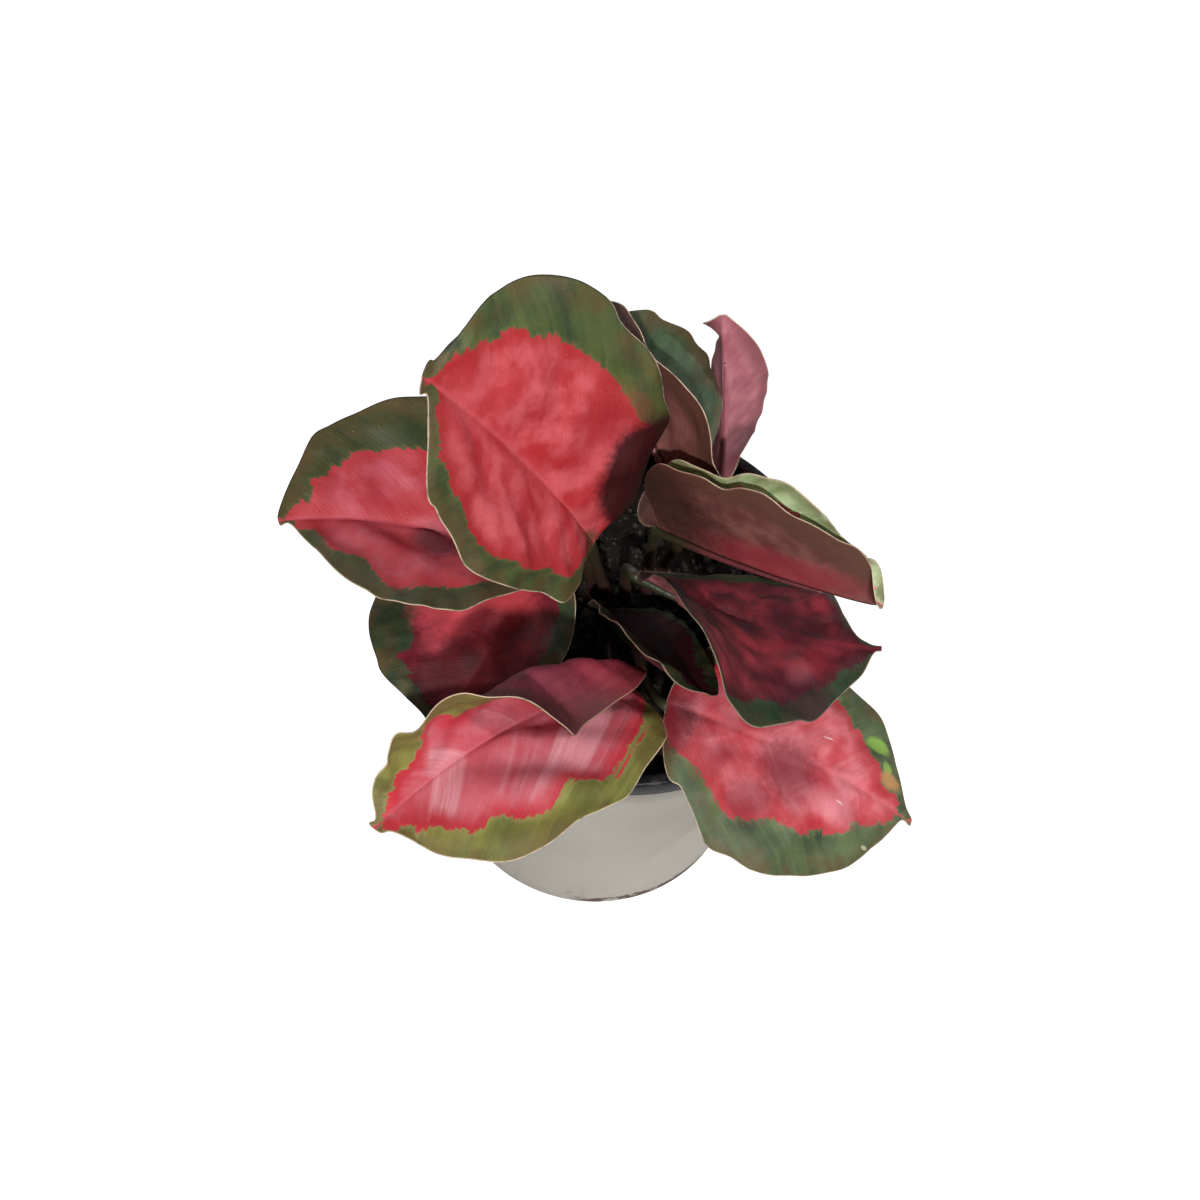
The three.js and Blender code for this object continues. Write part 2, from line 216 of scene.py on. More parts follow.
for mask, strength, tint in ((scuffs, 0.18, (222, 219, 214)), (specks, 0.5, (110, 102, 92)),
                             (grime, 0.8, (88, 68, 50)), (foot_line, 0.95, (76, 52, 30))):
    colour = blend(tree, times(tree, mask, strength), colour, tint)
give_colour(tree, shader, colour, calc(tree, "MULTIPLY_ADD", cloudy, 0.2, 0.32))
give_relief(tree, shader, noise(tree, place, 420, 3), 0.0001, 0.5)

black_plastic, tree, shader = new_finish("black pot lining")
place = object_place(tree)
dusty = ramp(tree, noise(tree, place, 160, 4, 0.65), 0.45, 0.75)
colour = blend(tree, dusty, (24, 24, 27), (52, 48, 47))
give_colour(tree, shader, colour, calc(tree, "MULTIPLY_ADD", dusty, 0.35, 0.25))
give_relief(tree, shader, noise(tree, place, 350, 2), 0.0001, 0.5)

pot_mesh = turned(pot_profile, POT_STEPS)
bmesh.ops.recalc_face_normals(pot_mesh, faces=pot_mesh.faces[:])
for face in pot_mesh.faces:
    middle = face.calc_center_median()
    radius = math.hypot(middle.x, middle.y)
    outside = radius > wall_radius(middle.z) - POT_WALL / 2
    below_lip = middle.z < under_lip - LIP_GAP and radius < lip_inside
    face.material_index = 0 if (outside and below_lip) or middle.z < POT_FLOOR / 2 else 1
pot = new_piece("nursery_pot", pot_mesh, "pot_plastic", grey_plastic, black_plastic)

punch_mesh = bmesh.new()
for i in range(DRAIN_HOLES):
    turn = 2 * math.pi * (i + 0.5) / DRAIN_HOLES
    spot = Matrix.Translation((DRAIN_RING * math.cos(turn), DRAIN_RING * math.sin(turn), 0))
    bmesh.ops.create_cone(punch_mesh, cap_ends=True, segments=DRAIN_SIDES, radius1=DRAIN_RADIUS,
                          radius2=DRAIN_RADIUS, depth=4 * POT_FLOOR, matrix=spot)
punch = new_piece("drain_punch", punch_mesh, "pot_plastic")
cut = pot.modifiers.new("drain holes", "BOOLEAN")
cut.object = punch
cut.operation = "DIFFERENCE"
cut.solver = "EXACT"
drained = bpy.data.meshes.new_from_object(pot.evaluated_get(bpy.context.evaluated_depsgraph_get()))
pot.modifiers.clear()
pot.data = drained
bpy.data.objects.remove(punch)
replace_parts(pot, "pot")


# The potting mix: damp peat with bark crumbs and a few larger chips, poured round the roots and
# pressed down by hand, so that its top lies in low hummocks round the crown of stalks. A size of
# crumb or chip is its least, its spread and how much the small ones outnumber the large.
SOIL_SEED = 7
SOIL_LEVEL = 88 * MM
CROWN_RISE = 2.5 * MM
HUMMOCK = 0.9 * MM
SOIL_CLEARANCE = 0.35 * MM
SOIL_RINGS = 70
SOIL_STEPS = 180
SOIL_GRAIN = 0.12
CRUMBS = 1500
CHIPS = 90
HANDFUL = 30
CRUMB_SIZE = (0.35, 0.9, 2.5)
CHIP_SIZE = (1.4, 1.8, 1)
CRUMB_SHAPE = (1, 0.8, 0.7, 1)
CHIP_SHAPE = (1, 0.55, 0.25, 1)
CRUMB_LIFT = 0.25
CRUMB_TILT = 0.3
CRUMB_KNOBBLES = 0.12


def soil_height(x, y):
    """Height of the soil's hummocks at a place, in metres."""
    a, b = x / MM, y / MM
    hummocks = math.sin(0.31 * a + 1.1) * math.cos(0.27 * b - 0.4) + 0.6 * math.sin(0.52 * b + 0.44 * a)
    from_crown = math.hypot(x, y) / NECK_RADIUS
    return SOIL_LEVEL + CROWN_RISE * (1 - from_crown ** 2) + HUMMOCK * hummocks


# The mix and its bark crumbs are coloured darker than peat and bark alone: partly their own colour, partly
# painted shade from the leaves over them.
soil_mix, tree, shader = new_finish("damp potting mix", Specular_IOR_Level=0.15)
place = object_place(tree)
clods = noise(tree, place, 300, 5, 0.7)
fibres = noise(tree, place, 1500, 3, 0.6)
colour = blend(tree, ramp(tree, clods, 0.35, 0.7), (13, 10, 9), (32, 25, 21))
colour = blend(tree, ramp(tree, fibres, 0.62, 0.75, 0, 0.6), colour, (58, 44, 35))
give_colour(tree, shader, colour, ramp(tree, clods, 0.3, 0.6, 0.6, 0.95))
give_relief(tree, shader, calc(tree, "ADD", clods, times(tree, fibres, 0.4)), 0.0009)

bark, tree, shader = new_finish("bark crumbs", Roughness=0.85)
place = object_place(tree)
tone = noise(tree, place, 420, 2)
colour = blend(tree, ramp(tree, tone, 0.3, 0.7), (24, 19, 17), (56, 42, 33))
colour = blend(tree, ramp(tree, tone, 0.7, 0.78, 0, 0.6), colour, (96, 76, 58))
give_colour(tree, shader, colour)
give_relief(tree, shader, noise(tree, place, 1800, 4, 0.7), 0.0004)

soil_edge = wall_radius(SOIL_LEVEL) - POT_WALL - SOIL_CLEARANCE
soil_foot = wall_radius(FOOT_ROUND) - POT_WALL - SOIL_CLEARANCE
soil_bottom = POT_FLOOR + SOIL_CLEARANCE
soil_profile = [(0, soil_bottom), (BASE_RADIUS - FOOT_ROUND - SOIL_CLEARANCE, soil_bottom),
                (soil_foot, FOOT_ROUND + soil_bottom)]
soil_profile += [(soil_edge * (1 - i / SOIL_RINGS), SOIL_LEVEL) for i in range(SOIL_RINGS + 1)]
soil_mesh = turned(soil_profile, SOIL_STEPS)
draw = np.random.default_rng(SOIL_SEED)
for vert in soil_mesh.verts:
    radius = math.hypot(vert.co.x, vert.co.y)
    if vert.co.z > SOIL_LEVEL - MM and radius < soil_edge - 0.5 * MM:
        vert.co.z = soil_height(vert.co.x, vert.co.y) + draw.normal(0, SOIL_GRAIN) * MM
for first in range(0, CRUMBS + CHIPS, HANDFUL):
    handful = bmesh.new()
    for i in range(first, first + HANDFUL):
        reach = (soil_edge - 2 * MM) * math.sqrt(draw.random())
        turn = 2 * math.pi * draw.random()
        x, y = reach * math.cos(turn), reach * math.sin(turn)
        least, spread, skew = CRUMB_SIZE if i < CRUMBS else CHIP_SIZE
        size = (least + spread * draw.random() ** skew) * MM
        shape = Matrix.Diagonal(CRUMB_SHAPE if i < CRUMBS else CHIP_SHAPE)
        spot = (Matrix.Translation((x, y, soil_height(x, y) + CRUMB_LIFT * size))
                @ Matrix.Rotation(2 * math.pi * draw.random(), 4, "Z")
                @ Matrix.Rotation(draw.normal(0, CRUMB_TILT), 4, "X") @ shape)
        crumb = bmesh.ops.create_icosphere(handful, subdivisions=1, radius=size, matrix=spot)["verts"]
        for vert in crumb:
            vert.co += Vector(draw.normal(0, CRUMB_KNOBBLES, 3)) * size
    for face in handful.faces:
        face.material_index = 1
    poured = bpy.data.meshes.new("handful")
    handful.to_mesh(poured)
    handful.free()
    soil_mesh.from_mesh(poured)
    bpy.data.meshes.remove(poured)
soil = new_piece("potting_mix", soil_mesh, "potting_soil", soil_mix, bark)
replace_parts(soil, "soil")


# The top leaf: the oldest and largest, standing up from the crown with its painted face to the
# front. A leaf is one blade that unrolled from a tube, thin and satin above, with a sunken midrib
# and side veins that quilt it, and it grows on a slim stalk that runs on under the blade as its rib.
STALK_DEPTH = 12
STALK_FOOT = 1.8
STALK_NECK = 1.2
STALK_SWELLING = 0.35
STALK_SIDES = 12
STALK_RINGS = 90
ROUTE_STEPS = 600
RIB_TIP = 0.32
RIB_REACH = 0.8
RIB_SEAT = 0.35
BLADE_THICKNESS = 0.55
MARGIN_THICKNESS = 0.2
MARGIN_TAPER = 4
END_HALF_WIDTH = 0.7
LEAST_HALF_WIDTH = 0.3
FOLD_WIDTH = 12
WAVES = 2.6
RIPPLES = 7.3
RIPPLE_HEIGHT = 0.25
ROWS = 128
COLUMNS = 36
VEIN_PITCH = 6.5
VEIN_LEAN = 0.75
VEIN_BEND = 0.013
QUILT_DEPTH = 0.16
MIDRIB_DEPTH = 0.25
MIDRIB_WIDTH = 0.9
BILLOWS = 7
BILLOW_LENGTHS = (7, 20)
FACE_SLOT, UNDERSIDE_SLOT, STALK_SLOT = range(3)


def eased(stops, at):
    """A smooth curve through (place, value) stops, read at an array of places."""
    places, values = np.array(stops, float).T
    slopes = np.gradient(values, places)
    first = np.clip(np.searchsorted(places, at) - 1, 0, len(places) - 2)
    span = places[first + 1] - places[first]
    t = np.clip((at - places[first]) / span, 0, 1)
    return ((2 * t ** 3 - 3 * t ** 2 + 1) * values[first] + (3 * t ** 2 - 2 * t ** 3) * values[first + 1]
            + span * ((t ** 3 - 2 * t ** 2 + t) * slopes[first] + (t ** 3 - t ** 2) * slopes[first + 1]))


def smooth_bump(x):
    """A share of 0 to 1 with soft ends."""
    x = np.clip(x, 0, 1)
    return x * x * (3 - 2 * x)


def midrib_of(leaf):
    """Places along the midrib, and the directions ahead, left and up that travel along it."""
    along = (1 - np.cos(np.pi * np.linspace(0, 1, ROWS + 1))) / 2
    heading, rise, roll = (np.radians(start + change * along)
                           for start, change in (leaf["heading"], leaf["rise"], leaf["roll"]))
    ahead = np.stack([np.cos(heading) * np.cos(rise), np.sin(heading) * np.cos(rise), np.sin(rise)], 1)
    level = np.stack([-np.sin(heading), np.cos(heading), 0 * heading], 1)
    above = np.cross(ahead, level)
    cos_roll, sin_roll = np.cos(roll)[:, None], np.sin(roll)[:, None]
    steps = (ahead[1:] + ahead[:-1]) / 2 * np.diff(along)[:, None] * leaf["length"]
    points = np.array(leaf["base"], float) + np.vstack([np.zeros(3), np.cumsum(steps, 0)])
    return along, points, level * cos_roll + above * sin_roll, above * cos_roll - level * sin_roll


def half_width(leaf, half, along):
    """Width of one half of the blade, and its share of the greatest, from the base to the tip."""
    p, q = half.get("roundness", leaf["roundness"]), leaf["sharpness"]
    widest = p / (p + q)
    share = along ** p * (1 - along) ** q / (widest ** p * (1 - widest) ** q) * (1 - 0.5 * along ** 14)
    width = END_HALF_WIDTH + (half["width"] - END_HALF_WIDTH) * share
    trimmed = width + eased([(0, 0)] + half["margin"] + [(1, 0)], along)
    return np.maximum(trimmed, LEAST_HALF_WIDTH), share


def half_surface(leaf, half, side, rib, columns):
    """Points across one half from the midrib to the margin, for every place along it."""
    along, points, left, up = rib
    width, share = half_width(leaf, half, along)
    flap = half.get("flap")
    if flap:
        flap_share = smooth_bump(1 - abs(along - flap["at"]) / flap["reach"])
        width = width + flap["width"] * flap_share
    wave = half["wave"] * np.sin(2 * np.pi * (WAVES * along + half["phase"])) * np.minimum(1, share * 1.5)
    ripple = RIPPLE_HEIGHT * np.sin(2 * np.pi * (RIPPLES * along + 3 * half["phase"] + 0.2 * side))
    rows = [points]
    place = points.copy()
    for k in range(1, columns + 1):
        across, middle = k / columns, (k - 0.5) / columns
        lift = half["fold"] + half["unfold"] * (along - 0.5) + half["curl"] * middle
        lift = lift * np.minimum(1, width / FOLD_WIDTH)
        if flap:
            bent = np.clip((middle - flap["starts"]) / flap["bend"], 0, 1)
            lift = lift + flap["angle"] * flap_share * bent
        lift = np.radians(lift)[:, None]
        place = place + (width / columns)[:, None] * (side * left * np.cos(lift) + up * np.sin(lift))
        rows.append(place + up * (wave * across ** 2 + ripple * share * across ** 4)[:, None])
    return np.stack(rows, 1), width


def grow_blade(leaf):
    """The blade's middle surface, with its vein and zone coordinates in millimetres."""
    rib = midrib_of(leaf)
    along = rib[0]
    flapped = any("flap" in leaf[side] for side in ("left", "right"))
    columns = COLUMNS * (2 if flapped else 1)
    surfaces, grains, zones = [], [], []
    for name, side in (("left", 1), ("right", -1)):
        half = leaf[name]
        points, width = half_surface(leaf, half, side, rib, columns)
        across = np.linspace(0, 1, columns + 1)[None, :]
        t = width[:, None] * across
        s = (along * leaf["length"])[:, None] + 0 * t
        w = s - leaf.get("lean", VEIN_LEAN) * t - leaf.get("bend", VEIN_BEND) * t * t
        border = np.clip(eased(half["rosy"], along), 0, 1) * width
        slope = np.gradient(border, s[:, 0])[:, None]
        edge_slope = np.gradient(width, s[:, 0])[:, None]
        rosy = (border[:, None] - t) / np.sqrt(1 + slope ** 2)
        edge = (width[:, None] - t) / np.sqrt(1 + edge_slope ** 2)
        order = slice(None, 0, -1) if side == 1 else slice(None)
        surfaces.append(points[:, order])
        grains.append(np.stack([w, side * t, s], 2)[:, order])
        zones.append(np.stack([rosy, edge, s / leaf["length"]], 2)[:, order])
    return [np.concatenate(halves, 1) for halves in (surfaces, grains, zones)]


def quilting(leaf, grain, zone):
    """Relief of the upper face in millimetres: sunken midrib and side veins, and soft swellings."""
    draw = np.random.default_rng(leaf["seed"])
    w, t, s = np.moveaxis(grain, 2, 0)
    edge = zone[..., 1]
    shift = draw.random() * VEIN_PITCH
    side_shift = np.where(t > 0, shift, shift + VEIN_PITCH / 2)
    swell = abs(np.sin(np.pi * (w + side_shift) / VEIN_PITCH)) ** 0.7
    relief = QUILT_DEPTH * (swell - 0.6) * (smooth_bump(abs(t) / 5) * smooth_bump(edge / 6))
    relief -= MIDRIB_DEPTH * np.exp(-(t / MIDRIB_WIDTH) ** 2) * smooth_bump(edge / 4)
    loose = 0
    for _ in range(BILLOWS):
        turn, length = draw.uniform(0, np.pi), draw.uniform(*BILLOW_LENGTHS)
        phase = draw.uniform(0, 2 * np.pi)
        billow = np.sin(2 * np.pi * (s * np.cos(turn) + t * np.sin(turn)) / length + phase)
        height = leaf.get("billow", 1) * billow * length / BILLOW_LENGTHS[1] / np.sqrt(BILLOWS)
        loose = loose + height * smooth_bump(edge / 7)
    for along, share, height, spread in leaf.get("swellings", []):
        side = leaf["left" if share > 0 else "right"]
        near = ((s - along * leaf["length"]) ** 2 + (t - share * side["width"]) ** 2) / spread ** 2
        loose = loose + height * np.exp(-near)
    return relief + loose * (0.1 + 0.9 * smooth_bump(abs(t) / 3))


def sweep(points, count):
    """Points spread evenly along a smooth curve through the given ones, and the directions there."""
    points = np.array(points, float)
    knots = np.concatenate([[0], np.cumsum(np.sqrt(np.linalg.norm(np.diff(points, axis=0), axis=1)))])
    fine = np.linspace(0, knots[-1], ROUTE_STEPS)
    curve = np.stack([eased(list(zip(knots, points[:, i])), fine) for i in range(3)], 1)
    lengths = np.concatenate([[0], np.cumsum(np.linalg.norm(np.diff(curve, axis=0), axis=1))])
    at = np.linspace(0, lengths[-1], count)
    even = np.stack([np.interp(at, lengths, curve[:, i]) for i in range(3)], 1)
    return even, np.gradient(even, axis=0), float(lengths[-1])


def grow_stalk(made, leaf, zone_layer):
    """Puts the stalk, and the rib that it becomes under the blade, in a leaf's empty bmesh."""
    along, points, _, up = midrib_of(leaf)
    foot_x, foot_y = leaf["foot"]
    surface = soil_height(foot_x * MM, foot_y * MM) / MM
    ribbed = along <= RIB_REACH
    drop = RIB_SEAT + STALK_NECK + (RIB_TIP - STALK_NECK) * along[ribbed] / RIB_REACH
    under = points[ribbed] - up[ribbed] * drop[:, None]
    route = [(foot_x, foot_y, surface - STALK_DEPTH), (foot_x, foot_y, surface), leaf["elbow"]]
    spine, headings, length = sweep(route + [tuple(p) for p in under[::8]], STALK_RINGS + 1)
    neck_at = 1 - leaf["length"] * RIB_REACH / length
    bmesh.ops.create_cone(made, cap_ends=True, segments=STALK_SIDES, radius1=1, radius2=1, depth=1)
    upright = [edge for edge in made.edges if abs(edge.verts[0].co.z - edge.verts[1].co.z) > 0.5]
    bmesh.ops.subdivide_edges(made, edges=upright, cuts=STALK_RINGS - 1)
    for face in made.faces:
        face.material_index = STALK_SLOT
    across = Vector((1, 0, 0))
    sides = []
    for heading in headings:
        heading = Vector(heading).normalized()
        across = (across - heading * across.dot(heading)).normalized()
        sides.append((across, heading.cross(across)))
    for vert in made.verts:
        share = vert.co.z + 0.5
        ring = round(share * STALK_RINGS)
        stalk = STALK_FOOT + (STALK_NECK - STALK_FOOT) * min(1, share / neck_at)
        taper = max(0, (share - neck_at) / (1 - neck_at))
        radius = stalk + (RIB_TIP - stalk) * taper
        radius += STALK_SWELLING * math.exp(-((share - neck_at) / 0.05) ** 2)
        first, second = sides[ring]
        turn = math.atan2(vert.co.y, vert.co.x)
        vert.co = Vector(spine[ring]) + radius * (first * math.cos(turn) + second * math.sin(turn))
        vert[zone_layer] = (share, 0, 0)


ROSY_FACE = dict(pink=(186, 56, 66), pale_pink=(198, 82, 92), deep_pink=(172, 34, 40), green=(80, 92, 48),
                 deep_green=(48, 62, 38), vein_green=(108, 112, 68), margin=(214, 190, 164),
                 dark_margin=(40, 30, 26), steps=2.2, frost=0.0, browning=0.6, left_pale=1.1,
                 right_pale=1.1, shift=0.0)
MAUVE_UNDERSIDE = dict(mauve=(140, 74, 82), pale_mauve=(166, 100, 106), purple_brown=(84, 50, 50),
                       margin=(214, 190, 164), shift=0.0)
FACE_RELIEF = 0.00018
UNDERSIDE_RELIEF = 0.0002
UNDERSIDE_GLOSS = 0.2


def label(key):
    """The label that a finish's value has on its group, as Pale pink for pale_pink."""
    return key.replace("_", " ").capitalize()


def leaf_group(name, look):
    """An empty node group with a leaf finish's values in, and a colour, roughness and height out."""
    group = bpy.data.node_groups.new(name, "ShaderNodeTree")
    sockets = [(label(key), "INPUT", "Color" if isinstance(value, tuple) else "Float")
               for key, value in look.items()]
    sockets += [("Colour", "OUTPUT", "Color"), ("Roughness", "OUTPUT", "Float"),
                ("Height", "OUTPUT", "Float")]
    for title, way, kind in sockets:
        group.interface.new_socket(title, in_out=way, socket_type="NodeSocket" + kind)
    return group, group.nodes.new("NodeGroupInput").outputs


def close_group(group, colour, roughness, height):
    """Sends a leaf pattern's colour, roughness and height out of its group."""
    result = group.nodes.new("NodeGroupOutput").inputs
    for title, value in (("Colour", colour), ("Roughness", roughness), ("Height", height)):
        group.links.new(value, result[title])


def leaf_places(tree, shift):
    """Vein and across coordinates, the zones, and places that lie flat or streak along the veins."""
    grain = add_node(tree, "Attribute", attribute_name="grain").outputs["Vector"]
    zones = add_node(tree, "Attribute", attribute_name="zones").outputs["Vector"]
    w, t, s = add_node(tree, "SeparateXYZ", {0: grain}).outputs
    rosy, edge, along = add_node(tree, "SeparateXYZ", {0: zones}).outputs
    flat = add_node(tree, "CombineXYZ", {0: s, 1: t, 2: shift}).outputs[0]
    streaks = add_node(tree, "CombineXYZ", {0: w, 1: times(tree, t, 0.07), 2: shift}).outputs[0]
    return SimpleNamespace(w=w, t=t, rosy=rosy, edge=edge, along=along, flat=flat, streaks=streaks)


def centred(tree, value, reach):
    """A value of 0 to 1 turned into an offset of half the reach to either side of nothing."""
    return calc(tree, "MULTIPLY_ADD", value, reach, times(tree, reach, -0.5))


face_pattern, given = leaf_group("painted leaf face", ROSY_FACE)
tree = face_pattern
here = leaf_places(tree, given["Shift"])
vein_place = calc(tree, "ADD", here.w, times(tree, calc(tree, "SIGN", here.t), 31.0))
cells = add_node(tree, "TexVoronoi", {"W": calc(tree, "ADD", vein_place, given["Shift"]), "Scale": 0.17},
                 voronoi_dimensions="1D").outputs["Color"]
step = add_node(tree, "SeparateXYZ", {0: cells}).outputs[0]
border = here.rosy
for ragged, reach in ((step, given["Steps"]), (noise(tree, here.streaks, 0.8, 4, 0.65), 3.2),
                      (noise(tree, here.flat, 0.5, 4, 0.6), 2.6)):
    border = calc(tree, "ADD", border, centred(tree, ragged, reach))
pink_share = ramp(tree, border, -0.15, 0.3)
mottle = noise(tree, here.flat, 0.13, 3, 0.55)
threads = noise(tree, here.streaks, 1.7, 3, 0.6)
fine_grain = noise(tree, here.flat, 4.5, 3, 0.7)
grainy = ramp(tree, fine_grain, 0.5, 0.75, 0, 0.3)

pink = blend(tree, ramp(tree, mottle, 0.35, 0.65), given["Pink"], given["Pale pink"])
for deepened in (ramp(tree, noise(tree, here.flat, 0.09, 2), 0.48, 0.7, 0, 0.7),
                 ramp(tree, border, 5.5, 0.3, 0, 0.7), ramp(tree, here.along, 0.65, 1, 0, 0.5),
                 ramp(tree, threads, 0.5, 0.75, 0, 0.2)):
    pink = blend(tree, deepened, pink, given["Deep pink"])
# Pale bands along the side veins in the pink: partly the leaf's own pale feathering, partly painted sheen.
feathering_and_sheen = times(tree, ramp(tree, noise(tree, here.streaks, 0.14, 2), 0.42, 0.6, 0.2, 1),
              ramp(tree, threads, 0.35, 0.65, 0.5, 1), ramp(tree, border, 1.5, 7))
pink = blend(tree, times(tree, feathering_and_sheen, given["Frost"]), pink, (222, 162, 168))
pink = blend(tree, grainy, pink, given["Pale pink"])

tone = calc(tree, "ADD", times(tree, noise(tree, here.streaks, 0.2, 3), 0.5),
            times(tree, noise(tree, here.flat, 0.12, 3, 0.6), 0.5))
green = blend(tree, ramp(tree, tone, 0.32, 0.66), given["Deep green"], given["Green"])
green = blend(tree, ramp(tree, threads, 0.5, 0.75, 0, 0.22), green, given["Vein green"])
green = blend(tree, grainy, green, given["Vein green"])
browned = times(tree, ramp(tree, here.edge, 9.0, 0.3), given["Browning"],
                ramp(tree, noise(tree, here.flat, 0.14, 3), 0.35, 0.6))
green = blend(tree, browned, green, (98, 72, 44))
green = blend(tree, ramp(tree, border, -1.2, -0.1, 0, 0.3), green, given["Vein green"])

colour = blend(tree, pink_share, green, pink)
rib_line = ramp(tree, calc(tree, "ABSOLUTE", here.t), 1.3, 0.1, 0, 0.4)
colour = blend(tree, times(tree, rib_line, pink_share), colour, given["Pale pink"])
on_left = ramp(tree, here.t, -0.1, 0.1)
left_pale, right_pale = (ramp(tree, calc(tree, "SUBTRACT", given[side + " pale"], here.along), -0.03, 0.03)
                         for side in ("Left", "Right"))
pale = calc(tree, "ADD", times(tree, on_left, left_pale),
            times(tree, calc(tree, "SUBTRACT", 1.0, on_left), right_pale))
pale = times(tree, pale, ramp(tree, noise(tree, here.flat, 0.4, 2), 0.3, 0.5, 0.45, 1))
rim_colour = blend(tree, pale, given["Dark margin"], given["Margin"])
colour = blend(tree, ramp(tree, here.edge, 0.3, 0.08, 0, 0.9), colour, rim_colour)
colour = blend(tree, ramp(tree, noise(tree, here.flat, 3.4, 1), 0.77, 0.8, 0, 0.5), colour, (235, 215, 205))
close_group(tree, colour, ramp(tree, mottle, 0.3, 0.7, 0.34, 0.46),
            calc(tree, "ADD", times(tree, threads, 0.7), times(tree, fine_grain, 0.5)))

back_pattern, given = leaf_group("leaf underside", MAUVE_UNDERSIDE)
tree = back_pattern
here = leaf_places(tree, given["Shift"])
mottle = noise(tree, here.flat, 0.2, 3)
threads = noise(tree, here.streaks, 1.6, 3, 0.6)
mauve = blend(tree, ramp(tree, mottle, 0.3, 0.7), given["Mauve"], given["Pale mauve"])
colour = blend(tree, ramp(tree, here.rosy, -2.5, 1.5), given["Purple brown"], mauve)
colour = blend(tree, ramp(tree, threads, 0.5, 0.75, 0, 0.35), colour, given["Pale mauve"])
colour = blend(tree, ramp(tree, here.edge, 0.3, 0.08, 0, 0.8), colour, given["Margin"])
close_group(tree, colour, ramp(tree, mottle, 0.3, 0.7, 0.45, 0.62),
            calc(tree, "ADD", threads, times(tree, mottle, 0.5)))


def leaf_finish(name, group, look, depth, gloss, stains):
    """A leaf material made of one of the pattern groups, with patches laid over its colour: real stains,
    spots and nicks, and patches of painted shade and painted light. A patch has its place along and across
    the leaf, its reach along and across, its strength, the blur of its edge and its colour."""
    finish, tree, shader = new_finish(name, Specular_IOR_Level=gloss)
    pattern = add_node(tree, "Group", node_tree=group)
    for key, value in look.items():
        pattern.inputs[label(key)].default_value = srgb(*value) if isinstance(value, tuple) else value
    colour = pattern.outputs["Colour"]
    flat = leaf_places(tree, 0.0).flat
    ragged = noise(tree, flat, 0.7, 3, 0.6)
    for (at_s, at_t), (long, wide), strength, blur, stain in stains:
        middle = add_node(tree, "VectorMath", {0: flat, 1: (at_s, at_t, 0)}, operation="SUBTRACT").outputs[0]
        shrunk = add_node(tree, "VectorMath", {0: middle, 1: (1 / long, 1 / wide, 0)}, operation="MULTIPLY")
        reach = add_node(tree, "VectorMath", {0: shrunk.outputs[0]}, operation="LENGTH").outputs["Value"]
        reach = calc(tree, "ADD", reach, centred(tree, ragged, 1.5 * blur))
        colour = blend(tree, ramp(tree, reach, 1 + blur, 1 - blur, 0, strength), colour, stain)
    give_colour(tree, shader, colour, pattern.outputs["Roughness"])
    give_relief(tree, shader, pattern.outputs["Height"], depth)
    return finish


def stalk_finish(name, foot, middle, rib):
    """The skin of a stalk, which changes colour from its foot to the rib under the blade."""
    finish, tree, shader = new_finish(name, Roughness=0.45)
    zones = add_node(tree, "Attribute", attribute_name="zones").outputs["Vector"]
    share = add_node(tree, "SeparateXYZ", {0: zones}).outputs[0]
    fibres = noise(tree, drawn_out(tree, object_place(tree), 0.1), 1500, 3)
    colour = blend(tree, ramp(tree, share, 0.1, 0.5), foot, middle)
    colour = blend(tree, ramp(tree, share, 0.55, 0.7), colour, rib)
    colour = blend(tree, ramp(tree, fibres, 0.5, 0.7, 0, 0.4), colour, foot)
    give_colour(tree, shader, colour)
    give_relief(tree, shader, fibres, 0.0002)
    return finish


stalk_skin = stalk_finish("stalk skin", (56, 27, 28), (46, 50, 29), (104, 50, 54))


def paint_leaf(name, shift, face=(), back=(), stains=(), back_stains=(), gloss=0.3, skin=stalk_skin):
    """The finishes of one leaf: its face, its underside and its stalk's skin."""
    face_look = dict(ROSY_FACE, shift=shift)
    back_look = dict(MAUVE_UNDERSIDE, shift=shift)
    face_look.update(face)
    back_look.update(back)
    return [leaf_finish(name + " face", face_pattern, face_look, FACE_RELIEF, gloss, stains),
            leaf_finish(name + " underside", back_pattern, back_look, UNDERSIDE_RELIEF, UNDERSIDE_GLOSS,
                        back_stains), skin]


